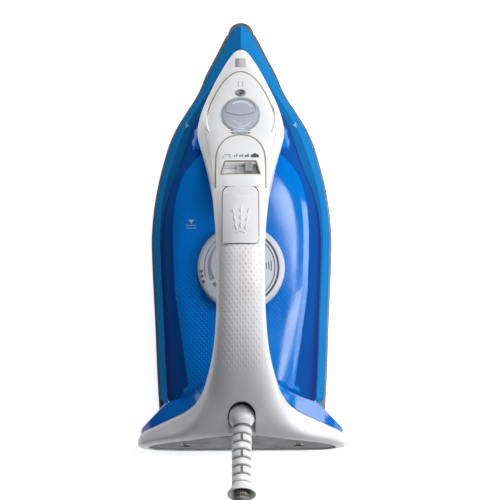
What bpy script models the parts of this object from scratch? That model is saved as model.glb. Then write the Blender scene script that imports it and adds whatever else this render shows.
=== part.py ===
"""Steam iron: soleplate with heater, translucent water tank, closed-loop handle and swivelling mains cord.

Lengths below are millimetres and angles are degrees; solid() and tube() turn them into metres.
+X is right, +Y points to the nose and +Z is up. The origin lies on the ironing surface, under the
middle of the iron's length.
"""

import math

import bmesh
import bpy
from mathutils import Matrix, Vector

for old in list(bpy.data.objects):
    bpy.data.objects.remove(old, do_unlink=True)

# ---------------------------------------------------------------- driving dimensions

MM = 0.001
GAP = 0.3
WALL = 2.2
HALF_LENGTH = 141.0
NOSE_TIP_Y = 138.5
NOSE_TIP_RADIUS = 6.8
BODY_REAR_Y = -113.5
SOLE_THICKNESS = 3.0
SOLE_TIP_RADIUS = 8.4
SOLE_TIP_Y = HALF_LENGTH - SOLE_TIP_RADIUS
SOLE_PROUD = 1.2
SOLE_NOSE_START, SOLE_NOSE_RUN, SOLE_NOSE_SHIFT = 90.0, 45.0, 1.6
SKIRT_TOP_Z = 28.0
TANK_TOP_Z = 70.0
SKIRT_LEAN = 0.22
DIAL_Y = -31.8
DIAL_RADIUS = 26.5
VALVE_Y = 26.0
PUMP_Y = 9.5
SUCTION_Y = 14.5
BALL_CENTRE = Vector((0.0, -122.5, 80.0))
GUARD_RISE = 28.0
CORD_RADIUS = 3.5
COIL_CENTRE = (15.5, -262.0)
COIL_INNER_RADIUS = 27.5
COIL_OUTER_RADIUS = 49.5
COIL_HEIGHT = 20.0

# Half-width of the body at the foot of the skirt, from the rear corner to the nose: (y, half-width).
PLAN = [
    (-113.5, 52.0), (-98.3, 53.0), (-77.8, 54.0), (-57.3, 54.9), (-36.7, 56.0), (-16.0, 57.0),
    (-5.5, 57.3), (4.9, 56.9), (15.3, 55.9), (25.8, 54.4), (36.3, 52.3), (46.9, 49.6),
    (57.4, 46.6), (68.0, 42.2), (78.7, 36.0), (89.3, 29.2), (94.6, 26.3), (105.3, 21.8),
    (116.0, 16.1), (126.8, 10.5), (135.0, 6.0),
]

# The white housing, from the nose over the handle and down to the heel. Each station joins a point of
# the top line to a point of the lower line: (top y, top z, low y, low z, half-width, share of the
# height below the widest point, roundness of the top, roundness of the bottom).
HOUSING = [
    (114.3, 36.5, 113.8, 34.0, 1.2, 0.00, 2.2, 8.0),
    (109.7, 41.5, 109.4, 35.5, 6.1, 0.00, 2.4, 8.0),
    (104.0, 46.3, 104.0, 37.5, 9.6, 0.00, 2.5, 8.0),
    (98.0, 50.6, 98.0, 40.0, 12.7, 0.00, 2.6, 8.0),
    (86.2, 58.6, 86.2, 45.5, 18.0, 0.00, 2.8, 8.0),
    (74.5, 66.6, 74.5, 51.5, 22.6, 0.00, 3.0, 8.0),
    (63.0, 75.0, 63.0, 57.5, 25.8, 0.00, 3.1, 8.0),
    (54.0, 82.0, 54.0, 62.2, 26.9, 0.00, 3.2, 8.0),
    (44.1, 90.0, 44.1, 68.2, 25.2, 0.08, 3.2, 8.0),
    (37.6, 95.5, 37.6, 69.8, 23.4, 0.18, 3.2, 8.0),
    (31.1, 101.0, 31.1, 69.8, 21.7, 0.26, 3.2, 8.0),
    (24.7, 107.0, 24.7, 69.8, 20.2, 0.34, 3.2, 8.0),
    (18.4, 113.2, 18.4, 69.8, 18.9, 0.42, 3.1, 8.0),
    (12.2, 119.5, 12.4, 70.6, 17.8, 0.48, 3.0, 6.0),
    (6.0, 125.2, 8.6, 78.0, 17.0, 0.52, 2.8, 4.5),
    (-1.0, 130.2, 5.0, 88.0, 16.3, 0.54, 2.6, 3.4),
    (-9.0, 134.3, 0.5, 98.0, 15.6, 0.56, 2.5, 2.8),
    (-18.0, 137.0, -8.0, 106.0, 14.8, 0.58, 2.4, 2.5),
    (-30.0, 138.0, -24.0, 109.5, 14.2, 0.58, 2.3, 2.4),
    (-45.0, 137.0, -42.0, 109.5, 14.1, 0.58, 2.3, 2.4),
    (-60.0, 134.0, -58.0, 108.0, 14.2, 0.58, 2.3, 2.4),
    (-74.0, 129.5, -70.0, 104.5, 14.9, 0.56, 2.3, 2.4),
    (-87.0, 123.0, -80.0, 99.5, 16.2, 0.54, 2.4, 2.4),
    (-99.0, 114.5, -88.5, 92.5, 18.3, 0.52, 2.5, 2.5),
    (-109.0, 104.5, -95.5, 84.5, 20.8, 0.50, 2.7, 2.6),
    (-117.0, 93.5, -101.0, 77.0, 23.2, 0.50, 3.0, 2.8),
    (-123.5, 82.0, -104.5, 71.0, 26.0, 0.50, 3.6, 3.0),
    (-129.0, 71.5, -108.0, 65.0, 30.0, 0.50, 5.0, 2.5),
    (-133.0, 63.5, -111.5, 60.0, 37.0, 0.55, 7.0, 2.3),
    (-135.4, 56.5, -114.5, 55.0, 47.0, 0.60, 8.0, 2.1),
    (-137.0, 49.0, -118.0, 49.0, 56.5, 0.65, 8.0, 2.0),
    (-138.6, 41.5, -121.0, 41.5, 63.0, 0.68, 8.0, 2.0),
    (-139.7, 33.5, -124.0, 33.5, 64.8, 0.68, 8.0, 2.0),
    (-140.6, 26.5, -126.5, 26.5, 62.5, 0.66, 8.0, 2.2),
    (-141.0, 22.0, -128.0, 22.0, 58.0, 0.64, 8.0, 2.4),
]

# The mains cord where it isn't coiled: from inside its guard down onto the coil's upper turn.
CORD_ROUTE = [
    (0.0, -149.0, 94.1), (0.0, -159.6, 99.7), (0.0, -168.4, 104.4), (-0.2, -176.8, 108.3),
    (-0.8, -186.0, 110.8), (-2.0, -195.4, 110.6), (-3.8, -204.2, 107.0), (-6.0, -211.4, 100.4),
    (-8.4, -216.8, 91.6), (-11.0, -220.6, 81.6), (-13.6, -223.4, 71.4), (-16.2, -226.2, 61.4),
    (-18.9, -229.6, 51.8), (-21.6, -234.2, 43.0), (-24.2, -240.2, 35.4), (-26.6, -247.4, 29.5),
    (-28.4, -255.6, 25.7), (-29.4, -264.4, 23.9),
]
# From the coil's lowest turn along the floor to the plug.
TAIL_ROUTE = [
    (9.0, -208.6, 3.8), (0.0, -209.8, 3.8), (-9.0, -211.0, 3.8), (-18.0, -212.6, 3.9),
    (-26.8, -215.4, 4.3), (-35.0, -219.6, 5.3), (-42.4, -225.2, 6.9), (-48.8, -231.9, 9.0),
    (-53.9, -239.6, 11.5), (-57.5, -248.1, 14.1), (-59.7, -257.1, 16.5), (-60.7, -266.4, 18.3),
    (-61.0, -273.0, 18.8),
]
PLUG_BACK = Vector((-61.0, -273.3, 18.8))
PLUG_RADIUS = 18.4
PIN_SPACING = 19.0

# ---------------------------------------------------------------- building tools


def material(name, colour, roughness, metallic=0.0, transmission=0.0):
    mat = bpy.data.materials.new(name)
    mat.use_nodes = True
    shader = mat.node_tree.nodes["Principled BSDF"]
    shader.inputs["Base Color"].default_value = (*colour, 1.0)
    shader.inputs["Roughness"].default_value = roughness
    shader.inputs["Metallic"].default_value = metallic
    shader.inputs["Transmission Weight"].default_value = transmission
    return mat


WHITE = material("white_plastic", (0.83, 0.83, 0.84), 0.35)
PEARL = material("pearl_plastic", (0.88, 0.88, 0.89), 0.22)
GREY = material("grey_plastic", (0.36, 0.36, 0.38), 0.5)
BLUE = material("blue_plastic", (0.0, 0.17, 0.60), 0.25)
TANK_BLUE = material("tank_blue", (0.0, 0.11, 0.52), 0.12, transmission=0.4)
CLEAR = material("clear_plastic", (0.72, 0.76, 0.84), 0.1, transmission=0.7)
DIAL_GREY = material("dial_grey", (0.56, 0.57, 0.66), 0.35)
SILVER = material("silver_plastic", (0.6, 0.6, 0.62), 0.3, 0.6)
SOLE_METAL = material("sole_metal", (0.32, 0.32, 0.34), 0.25, 0.9)
CAST_METAL = material("cast_metal", (0.55, 0.56, 0.58), 0.5, 1.0)
STEEL = material("steel", (0.6, 0.6, 0.62), 0.3, 1.0)
BRASS = material("brass", (0.72, 0.55, 0.25), 0.3, 1.0)
BLACK = material("black_plastic", (0.03, 0.03, 0.035), 0.45)
RUBBER = material("seal_rubber", (0.45, 0.12, 0.08), 0.7)
BRAID = material("braided_cord", (0.16, 0.12, 0.10), 0.85)


def solid(name, points, faces, mat, origin=(0, 0, 0), sharp=35):
    """One closed body in its own object, whose origin is at the given place."""
    mesh = bpy.data.meshes.new(name)
    home = Vector(origin)
    mesh.from_pydata([(Vector(p) - home) * MM for p in points], [], faces)
    shell = bmesh.new()
    shell.from_mesh(mesh)
    bmesh.ops.remove_doubles(shell, verts=shell.verts, dist=1e-6)
    bmesh.ops.recalc_face_normals(shell, faces=shell.faces)
    shell.to_mesh(mesh)
    shell.free()
    mesh.materials.append(mat)
    mesh.shade_smooth()
    mesh.set_sharp_from_angle(angle=math.radians(sharp))
    obj = bpy.data.objects.new(name, mesh)
    obj.location = home * MM
    bpy.context.scene.collection.objects.link(obj)
    return obj


def loft(name, rings, mat, origin=(0, 0, 0)):
    """A solid that runs through closed rings of equally many points, with flat ends."""
    count = len(rings[0])
    points = [p for ring in rings for p in ring]
    faces = [tuple(range(count)), tuple(range(len(points) - count, len(points)))]
    for row in range(len(rings) - 1):
        for k in range(count):
            a = row * count + k
            b = row * count + (k + 1) % count
            faces.append((a, b, b + count, a + count))
    return solid(name, points, faces, mat, origin)


def turned(name, profile, mat, centre=(0, 0, 0), axis=(0, 0, 1), sides=24, origin=None):
    """A solid turned from (radius, height) points about an axis; a closed profile makes a ring."""
    turn = Vector((0, 0, 1)).rotation_difference(Vector(axis)).to_matrix()
    home = Vector(centre)
    points = []
    for radius, height in profile:
        for k in range(sides):
            angle = 2 * math.pi * k / sides
            spoke = Vector((radius * math.cos(angle), radius * math.sin(angle), height))
            points.append(home + turn @ spoke)
    rows = len(profile)
    ring = profile[0] == profile[-1]
    faces = []
    for row in range(rows - 1):
        for k in range(sides):
            a = row * sides + k
            b = row * sides + (k + 1) % sides
            faces.append((a, b, b + sides, a + sides))
    if not ring:
        faces.append(tuple(range(sides)))
        faces.append(tuple(range((rows - 1) * sides, rows * sides)))
    return solid(name, points, faces, mat, home if origin is None else origin)


def rod(name, start, end, radius, mat, sides=16, origin=None):
    start, end = Vector(start), Vector(end)
    profile = [(radius, 0.0), (radius, (end - start).length)]
    return turned(name, profile, mat, start, end - start, sides, origin)


def pipe(name, start, end, outer, inner, mat, sides=16, origin=None):
    start, end = Vector(start), Vector(end)
    length = (end - start).length
    profile = [(outer, 0.0), (outer, length), (inner, length), (inner, 0.0), (outer, 0.0)]
    return turned(name, profile, mat, start, end - start, sides, origin)


def block(name, low, high, mat, bevel=0.0, origin=None):
    points = [(x, y, z) for z in (low[2], high[2]) for y in (low[1], high[1]) for x in (low[0], high[0])]
    faces = [(0, 1, 3, 2), (4, 5, 7, 6), (0, 1, 5, 4), (2, 3, 7, 6), (0, 2, 6, 4), (1, 3, 7, 5)]
    middle = [(a + b) / 2 for a, b in zip(low, high)]
    obj = solid(name, points, faces, mat, middle if origin is None else origin)
    if bevel:
        edge = obj.modifiers.new("edge", "BEVEL")
        edge.width = bevel * MM
        edge.segments = 1
    return obj


def smooth_line(points, step):
    """Points about a step apart along a smooth curve through the given ones."""
    knots = [Vector(p) for p in points]
    line = []
    for k in range(len(knots) - 1):
        before = knots[max(k - 1, 0)]
        after = knots[min(k + 2, len(knots) - 1)]
        a, b = knots[k], knots[k + 1]
        pieces = max(1, round((b - a).length / step))
        for i in range(pieces):
            t = i / pieces
            pull_a = (b - before) / 2
            pull_b = (after - a) / 2
            line.append(
                (2 * t**3 - 3 * t**2 + 1) * a
                + (t**3 - 2 * t**2 + t) * pull_a
                + (3 * t**2 - 2 * t**3) * b
                + (t**3 - t**2) * pull_b
            )
    line.append(knots[-1])
    return line


def tube(name, route, radius, mat, step, resolution=2):
    """A round tube with flat ends along a smooth route."""
    curve = bpy.data.curves.new(name, "CURVE")
    curve.dimensions = "3D"
    curve.bevel_depth = radius * MM
    curve.bevel_resolution = resolution
    curve.use_fill_caps = True
    line = smooth_line(route, step)
    spline = curve.splines.new("POLY")
    spline.points.add(len(line) - 1)
    for point, place in zip(spline.points, line):
        point.co = (*(place * MM), 1.0)
    spline.use_smooth = True
    curve.materials.append(mat)
    obj = bpy.data.objects.new(name, curve)
    bpy.context.scene.collection.objects.link(obj)
    return obj


def boolean(target, other, operation):
    change = target.modifiers.new(other.name, "BOOLEAN")
    change.operation = operation
    change.solver = "EXACT"
    change.object = other
    other.hide_render = True
    other.display_type = "WIRE"


def cut(target, *others):
    for other in others:
        boolean(target, other, "DIFFERENCE")


# ---------------------------------------------------------------- outlines


def table(rows, at, column):
    """The value of a column at a place along the table's first column, which falls or rises."""
    rows = sorted(rows)
    if at <= rows[0][0]:
        return rows[0][column]
    for low, high in zip(rows, rows[1:]):
        if at <= high[0]:
            share = (at - low[0]) / (high[0] - low[0])
            return low[column] + share * (high[column] - low[column])
    return rows[-1][column]


def plan_half(y):
    """Half-width of the skirt's foot, with a round nose."""
    tangent_y = PLAN[-1][0]
    if y <= tangent_y:
        return table(PLAN, y, 1)
    centre = NOSE_TIP_Y - NOSE_TIP_RADIUS
    return math.sqrt(max(0.0, NOSE_TIP_RADIUS**2 - (y - centre) ** 2))


# Where the flanks begin to lean in further on the way to the nose, and over what length.
MIDDLE_START, MIDDLE_RUN = 10.0, 70.0
NOSE_START, NOSE_RUN = 98.0, 32.0
NOSE_INSET_GAIN = 0.7
PROW_MIDDLE_GAIN = 0.55
PROW_NOSE_GAIN = 1.08


def ease(share):
    share = min(1.0, max(0.0, share))
    return share * share * (3 - 2 * share)


def nose_gain(y):
    """The body's flanks lean more towards the nose."""
    return 1.0 + NOSE_INSET_GAIN * ease((y - NOSE_START) / NOSE_RUN)


def prow_gain(y):
    """The skirt leans in more towards the nose."""
    middle = PROW_MIDDLE_GAIN * ease((y - MIDDLE_START) / MIDDLE_RUN)
    return 1.0 + middle + PROW_NOSE_GAIN * ease((y - NOSE_START) / NOSE_RUN)


def body_half(y, inset, lean=0.0):
    """Half-width of the body at y, drawn in by an inset and by the skirt's lean."""
    return plan_half(y) - inset * nose_gain(y) - lean * prow_gain(y)


def front_of(half, low=60.0, high=NOSE_TIP_Y):
    """Where a half-width function reaches zero."""
    for _ in range(50):
        middle = (low + high) / 2
        if half(middle) > 0.02:
            low = middle
        else:
            high = middle
    return low


def outline(half, rear, front, z, count=22):
    """A symmetric closed ring at one height, closer spaced at the nose. z may be a function of y."""
    level = z if callable(z) else lambda y: z
    right = []
    for k in range(count):
        y = rear + (front - rear) * (1 - (1 - k / count) ** 1.5)
        right.append((half(y), y, level(y)))
    left = [(-x, y, h) for x, y, h in reversed(right)]
    return right + [(0.0, front, level(front))] + left


def body_ring(inset, z, rear_inset=0.0, rear=None, lean=0.0):
    def half(y):
        return body_half(y, inset, lean)

    start = BODY_REAR_Y + rear_inset if rear is None else rear
    return outline(half, start, front_of(half), z, 22)


def skirt_lean(z):
    return (z - SOLE_THICKNESS) * SKIRT_LEAN


# How far the tank's foot stands in from the sole's edge: y, distance.
TANK_INSET = [(-113.5, 6.0), (-40.0, 6.4), (8.0, 7.4), (24.0, 9.4), (40.0, 12.4), (60.0, 13.2), (92.0, 13.2)]


# The lean of the tank's flanks fades towards the nose and grows towards the rear.
TANK_FADE_END, TANK_FADE_RUN = 78.0, 30.0
TANK_REAR_START, TANK_REAR_RUN, TANK_REAR_GAIN = -45.0, 67.0, 0.8
MOST_TANK_LEAN = 36.0
TANK_TIP_RUN, TANK_TIP_POWER = 30.0, 2.2


def tank_half(y, shrink, lean, front):
    """The tank's flank: its lean fades and its end rounds off towards the nose."""
    fade = min(1.0, max(0.0, (TANK_FADE_END - y) / TANK_FADE_RUN))
    more = 1.0 + TANK_REAR_GAIN * min(1.0, max(0.0, (TANK_REAR_START - y) / TANK_REAR_RUN))
    lean_in = min(MOST_TANK_LEAN, lean * more) * fade
    wide = plan_half(y) - table(TANK_INSET, y, 1) - shrink - lean_in
    start = front - TANK_TIP_RUN
    if y <= start:
        return wide
    share = (y - start) / (front - start)
    return max(0.0, wide * math.sqrt(max(0.0, 1 - share**TANK_TIP_POWER)))


def tank_ring(z, lean, front, rear, shrink=0.0, count=16):
    def half(y):
        return tank_half(y, shrink, lean, front - shrink)

    return outline(half, rear + shrink, front - shrink, z, count)


def station_ring(station, inset=0.0, count=20, drop=0.0, lift=0.0):
    """The housing's cross-section at one station, shrunk by an inset."""
    top = Vector((0, station[0], station[1]))
    low = Vector((0, station[2], station[3]))
    rise = (top - low).normalized()
    top = top - rise * (inset - lift)
    low = low + rise * (inset - drop)
    half = max(0.6, station[4] - inset)
    height = (top - low).length
    belly = station[5] * height
    ring = []
    for k in range(count):
        angle = 2 * math.pi * (k + 0.5) / count
        across, up = math.cos(angle), math.sin(angle)
        power = station[6] if up >= 0 else station[7]
        x = math.copysign(half * abs(across) ** (2 / power), across)
        if up >= 0:
            v = belly + (height - belly) * up ** (2 / power)
        else:
            v = belly - belly * (-up) ** (2 / power)
        ring.append(low + rise * v + Vector((x, 0, 0)))
    return ring


def surface_z(x, y):
    """Height of the housing's upper surface over the front slope and the button."""
    rows = [(s[0], *s[1:]) for s in HOUSING if s[0] > -40]
    top, low = table(rows, y, 1), table(rows, y, 3)
    half, share, power = table(rows, y, 4), table(rows, y, 5), table(rows, y, 6)
    belly = low + share * (top - low)
    across = min(0.98, abs(x) / half)
    return belly + (top - belly) * (1 - across**power) ** (1 / power)


def skin(name, rows, above, below, mat, columns=8):
    """A curved panel that follows the housing's surface over rows of (y, half-width)."""
    rings = []
    for y, half in rows:
        across = [half * (2 * k / columns - 1) for k in range(columns + 1)]
        top = [(x, y, surface_z(x, y) + above) for x in across]
        bottom = [(x, y, surface_z(x, y) + below) for x in reversed(across)]
        rings.append(top + bottom)
    return loft(name, rings, mat)


def grown(rows, by):
    """Panel rows made larger or smaller all round."""
    middle = (rows[0][0] + rows[-1][0]) / 2
    length = (rows[0][0] - rows[-1][0]) / 2
    width = max(half for _, half in rows)
    longer, wider = (length + by) / length, (width + by) / width
    return [(middle + (y - middle) * longer, half * wider) for y, half in rows]


# ---------------------------------------------------------------- soleplate and heater


def sole_half(y):
    """The sole stands a little proud of the skirt and ends in a round tip."""
    share = min(1.0, max(0.0, (y - SOLE_NOSE_START) / SOLE_NOSE_RUN))
    wide = plan_half(min(y - SOLE_NOSE_SHIFT * share, PLAN[-1][0])) + SOLE_PROUD
    if y < SOLE_TIP_Y:
        return wide
    return min(wide, math.sqrt(max(0.0, SOLE_TIP_RADIUS**2 - (y - SOLE_TIP_Y) ** 2)))


def steam_holes():
    """Centres of the steam outlets: one row along each edge, and a cluster behind the nose."""
    rows = [(side * (plan_half(y) - 27.0), y) for y in range(-80, 81, 20) for side in (-1, 1)]
    return rows + [(0.0, 88.0), (0.0, 72.0), (0.0, 56.0)]


def add_soleplate():
    edge = 0.8
    levels = [(0.0, edge), (edge, 0.0), (SOLE_THICKNESS - 0.4, 0.0), (SOLE_THICKNESS, 0.5)]
    rings = []
    for z, inset in levels:
        def half(y, inset=inset):
            return max(0.0, sole_half(y) - inset)

        rings.append(outline(half, BODY_REAR_Y - 0.6 + inset, HALF_LENGTH - inset, z, 26))
    plate = loft("soleplate", rings, SOLE_METAL)
    for index, (x, y) in enumerate(steam_holes()):
        cut(plate, rod(f"hole_{index}", (x, y, -2), (x, y, SOLE_THICKNESS + 2), 1.7, SOLE_METAL, 8))
    return plate


CHAMBER_INSET = 20.0
CHAMBER_WALL = 3.0


def add_heater():
    floor = [body_ring(8.0, z, 8.0) for z in (3.3, 7.0)]
    casting = loft("heater_casting", floor, CAST_METAL)
    wall = loft("chamber_wall", [body_ring(CHAMBER_INSET, z, 18.0) for z in (5.0, 13.0)], CAST_METAL)
    boolean(casting, wall, "UNION")
    inner = CHAMBER_INSET + CHAMBER_WALL
    hollow = loft("chamber_hollow", [body_ring(inner, z, 21.0) for z in (7.0, 15.0)], CAST_METAL)
    cut(casting, hollow)
    for index, (x, y) in enumerate(steam_holes()):
        cut(casting, rod(f"duct_{index}", (x, y, 2), (x, y, 9), 1.5, CAST_METAL, 6))

    run = [(body_half(y, 14.0), y, 10.6) for y in (-98, -60, -20, 20, 50, 75, 92, 101, 106)]
    nose = [(0.0, 109.5, 10.6)]
    ends = [(run[0][0] - 5.0, -103.5, 16.0), (run[0][0] - 1.5, -102.5, 12.4)]
    right = ends + run
    left = [(-x, y, z) for x, y, z in reversed(right)]
    tube("heating_element", right + nose + left, 3.1, STEEL, 24.0)

    seal_in, seal_out = inner - 0.5, CHAMBER_INSET + 0.3
    seal = loft("chamber_gasket", [body_ring(seal_out, z, 18.3) for z in (13.3, 14.1)], RUBBER)
    cut(seal, loft("gasket_hole", [body_ring(seal_in, z, 20.5) for z in (12.5, 15.0)], RUBBER))
    cover = loft("chamber_cover", [body_ring(CHAMBER_INSET + 0.3, z, 18.3) for z in (14.4, 15.6)], STEEL)
    cut(cover, rod("steam_inlet", (0, VALVE_Y, 13), (0, VALVE_Y, 17), 3.0, STEEL, 12))


def add_thermostat():
    block("thermostat", (-11, DIAL_Y - 8, 15.9), (11, DIAL_Y + 8, 22.6), STEEL, 0.8)
    rod("thermostat_bush", (0, DIAL_Y, 22.9), (0, DIAL_Y, 27.2), 4.6, BRASS, 16)
    rod("thermal_fuse", (22, -68, 18.8), (22, -50, 18.8), 2.6, STEEL, 12)
    plate = loft("heat_shield", [body_ring(16.0, z, 14.0) for z in (23.9, 24.7)], STEEL)
    cut(plate, rod("shield_hole", (0, DIAL_Y, 22), (0, DIAL_Y, 26), 5.4, STEEL, 12))
    cut(plate, rod("shield_port", (0, VALVE_Y, 22), (0, VALVE_Y, 26), 5.9, STEEL, 12))


# ---------------------------------------------------------------- skirt and tank


def add_skirt(seat):
    """The blue skirt with its deck, rising to a prow under the housing's nose."""
    foot = SOLE_THICKNESS + 0.4
    sides = [body_ring(0.0, z, lean=skirt_lean(z)) for z in (foot, 9.0, 18.0, SKIRT_TOP_Z)]
    skirt = loft("skirt", sides, BLUE)
    prow = [body_ring(0.06, z, rear=91.5, lean=skirt_lean(z)) for z in (24.0, 36.0, 48.0)]
    boolean(skirt, loft("prow", prow, BLUE), "UNION")
    deck = SKIRT_TOP_Z - WALL
    room = [body_ring(WALL, z, WALL, lean=skirt_lean(z)) for z in (1.0, 14.0, deck)]
    prow_room = [body_ring(WALL + 0.3, z, rear=93.8, lean=skirt_lean(z)) for z in (20.0, 31.0)]
    cut(skirt, loft("skirt_room", room, BLUE), loft("prow_room", prow_room, BLUE), seat)
    cut(skirt, rod("deck_hole", (0, DIAL_Y, 24), (0, DIAL_Y, 30), 5.4, BLUE, 16))
    cut(skirt, rod("deck_port", (0, VALVE_Y, 24), (0, VALVE_Y, 30), 5.9, BLUE, 16))


# The tank's levels: z, lean of the flank, front end and rear end.
TANK_LEVELS = [(28.3, 0.0, 91.0, -113.2), (45.0, 2.0, 88.5, -111.5), (58.0, 4.2, 70.0, -110.0),
               (66.0, 7.5, 54.0, -105.8), (69.2, 12.0, 46.0, -103.2), (TANK_TOP_Z, 17.0, 40.0, -100.5)]

# The water space: the same leans and ends, one wall lower under the roof.
TANK_ROOM = [(26.0, 0.0, 91.0, -113.2), (45.0, 2.0, 88.5, -111.5), (55.8, 4.2, 70.0, -110.0),
             (63.8, 7.5, 54.0, -105.8), (66.3, 12.0, 46.0, -103.2), (66.6, 17.0, 40.0, -100.5)]

FLANGE_STATIONS = [(-140.2, 29.5, -125.4, 29.5, 63.6, 0.67, 8.0, 2.1)] + HOUSING[-3:-11:-1]
FLANGE_THICKNESS = 3.0
FLANGE_SIDE_GAP = 1.5
FLANGE_FRONT_Y = -112.4
FLANGE_CORNER_X = 47.5
FLANGE_SWEEP = 1.12


def flange_ring(station, clearance=0.6, columns=16):
    """The tank's flange fills the space between the tank's rear wall and the heel's front face."""
    top = Vector((0, station[0], station[1]))
    low = Vector((0, station[2], station[3]))
    rise = (top - low).normalized()
    half, power = station[4], station[7]
    belly = station[5] * (top - low).length
    rear, front = [], []
    for k in range(columns + 1):
        x = (half - FLANGE_SIDE_GAP) * math.sin(math.pi * (k / columns - 0.5))
        depth = belly * (1 - (1 - abs(x / half) ** power) ** (1 / power)) - clearance
        back = low + rise * depth + Vector((x, 0, 0))
        ahead = back - rise * FLANGE_THICKNESS
        ahead.y = max(ahead.y, FLANGE_FRONT_Y - FLANGE_SWEEP * max(0.0, abs(x) - FLANGE_CORNER_X))
        rear.append(back)
        front.append(ahead)
    return rear + front[::-1]


def add_tank(seat):
    shell = loft("tank_shell", [tank_ring(*level) for level in TANK_LEVELS], TANK_BLUE)
    rings = [tank_ring(z, lean, front - 4, rear, WALL) for z, lean, front, rear in TANK_ROOM]
    cut(shell, loft("tank_room", rings, TANK_BLUE))
    cut(shell, seat)
    flange = loft("tank_flange", [flange_ring(s) for s in FLANGE_STATIONS], TANK_BLUE)
    boolean(shell, flange, "UNION")
    cut(shell, rod("shaft_hole", (0, DIAL_Y, 60), (0, DIAL_Y, 75), 5.0, TANK_BLUE, 16))
    cut(shell, rod("valve_hole", (0, VALVE_Y, 60), (0, VALVE_Y, 75), 2.6, TANK_BLUE, 12))
    cut(shell, rod("suction_hole", (0, SUCTION_Y, 60), (0, SUCTION_Y, 75), 2.8, TANK_BLUE, 12))
    cut(shell, filler_tube("filler_port", FILLER_OUTER + GAP, 45.0, 80.0))

    base = loft("tank_base", [tank_ring(z, 0.3, 86.5, -113.2, 2.8) for z in (28.3, 30.3)], TANK_BLUE)
    cut(base, rod("base_hole", (0, DIAL_Y, 26), (0, DIAL_Y, 32), 4.0, TANK_BLUE, 16))
    cut(base, rod("base_port", (0, VALVE_Y, 26), (0, VALVE_Y, 32), 5.9, TANK_BLUE, 16))
    seal = loft("tank_seal", [tank_ring(z, 0.6, 86.2, -113.2, 3.0) for z in (30.6, 32.2)], RUBBER)
    cut(seal, loft("seal_hole", [tank_ring(z, 0.6, 86.2, -113.2, 5.6) for z in (29, 34)], RUBBER))
    pipe("shaft_tube", (0, DIAL_Y, 30.6), (0, DIAL_Y, TANK_TOP_Z + 0.2), 4.7, 3.5, TANK_BLUE)


# ---------------------------------------------------------------- steam valve, filler, spray

FILLER_Y = 63.0
FILLER_OUTER = 9.5


def filler_tube(name, radius, low, high, mat=WHITE):
    """An oval neck that stands upright under the filler opening."""
    rings = []
    for z in (low, high):
        ring = []
        for k in range(20):
            angle = 2 * math.pi * k / 20
            ring.append((radius * math.cos(angle), FILLER_Y + radius * 0.75 * math.sin(angle), z))
        rings.append(ring)
    return loft(name, rings, mat)


def slope_at(y):
    """Unit vector along the front slope, pointing up and back, and the slope's normal."""
    rise = surface_z(0, y - 2.0) - surface_z(0, y + 2.0)
    along = Vector((0, -4.0, rise)).normalized()
    return along, Vector((0, along.z, -along.y))


FASCIA = [(95.2, 0.8), (94.4, 3.6), (92.6, 6.4), (89.6, 9.4), (85.4, 12.4), (79.5, 15.6),
          (72.5, 18.3), (65.0, 20.0), (57.0, 20.8), (50.0, 20.2), (43.0, 18.9), (37.0, 18.0)]
CONTROL = [(48.1, 1.5), (47.6, 4.4), (45.8, 8.0), (42.6, 11.2), (38.6, 13.4), (33.0, 14.6),
           (24.0, 14.8), (18.4, 14.8), (14.5, 14.7)]
PANEL = 2.0
CAP_CENTRE_Y = 63.4
CAP_HALF_LENGTH = 12.6
CAP_HALF_WIDTH = 11.6


def cap_rows(by=0.0):
    """The filler cap's oval in plan: (y, half-width)."""
    length, width = CAP_HALF_LENGTH + by, CAP_HALF_WIDTH + by
    rows = []
    for k in range(11):
        angle = math.pi * (k + 0.35) / 10.7
        rows.append((CAP_CENTRE_Y + length * math.cos(angle), width * math.sin(angle)))
    return rows


def add_front(housing):
    """The inner fascia, the filler with its cap, and the control panel."""
    fascia = skin("fascia_panel", FASCIA, 0.0, -PANEL, PEARL)
    cut(fascia, skin("control_room", grown(CONTROL, GAP), 8.0, -8.0, PEARL))
    cut(fascia, skin("cap_room", cap_rows(GAP), 8.0, -1.3, PEARL))
    cut(fascia, filler_tube("mouth_room", FILLER_OUTER + GAP, 50.0, 95.0))
    control = skin("control_panel", CONTROL, 0.0, -PANEL, PEARL)
    both = FASCIA[:-1] + [(37.0, 18.0), (36.4, 14.9), *CONTROL[-3:]]
    cut(housing, skin("front_recess", grown(both, 0.45), 9.0, -PANEL - 0.5, PEARL))
    cut(housing, skin("front_window", grown(both, -2.6), 5.0, -14.0, PEARL))

    neck = filler_tube("filler_neck", FILLER_OUTER, 48.0, 64.0)
    cut(neck, filler_tube("neck_bore", FILLER_OUTER - 1.8, 46.0, 66.0))
    rim = filler_tube("filler_seal", FILLER_OUTER, 64.3, 66.0, RUBBER)
    cut(rim, filler_tube("rim_bore", FILLER_OUTER - 2.0, 63.0, 68.0))

    hinge_y = CAP_CENTRE_Y - CAP_HALF_LENGTH - 0.6
    hinge = Vector((0, hinge_y, surface_z(0, hinge_y) - 0.4))
    cap = skin("filler_cap", cap_rows(), 0.9, -1.0, CLEAR)
    for point in cap.data.vertices:
        point.co -= hinge * MM
    cap.location = hinge * MM
    side = Vector((1, 0, 0))
    boolean(cap, rod("cap_knuckle", hinge - side * 4.5, hinge + side * 4.5, 1.7, CLEAR, 12), "UNION")
    cut(cap, rod("knuckle_bore", hinge - side * 6, hinge + side * 6, 1.15, CLEAR, 12))
    rod("cap_hinge_pin", hinge - side * 6.2, hinge + side * 6.2, 0.85, STEEL, 12)
    cut(fascia, rod("knuckle_room", hinge - side * 4.9, hinge + side * 4.9, 2.2, PEARL, 12))
    cut(fascia, rod("pin_room", hinge - side * 6.5, hinge + side * 6.5, 1.15, PEARL, 12))
    return control


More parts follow.
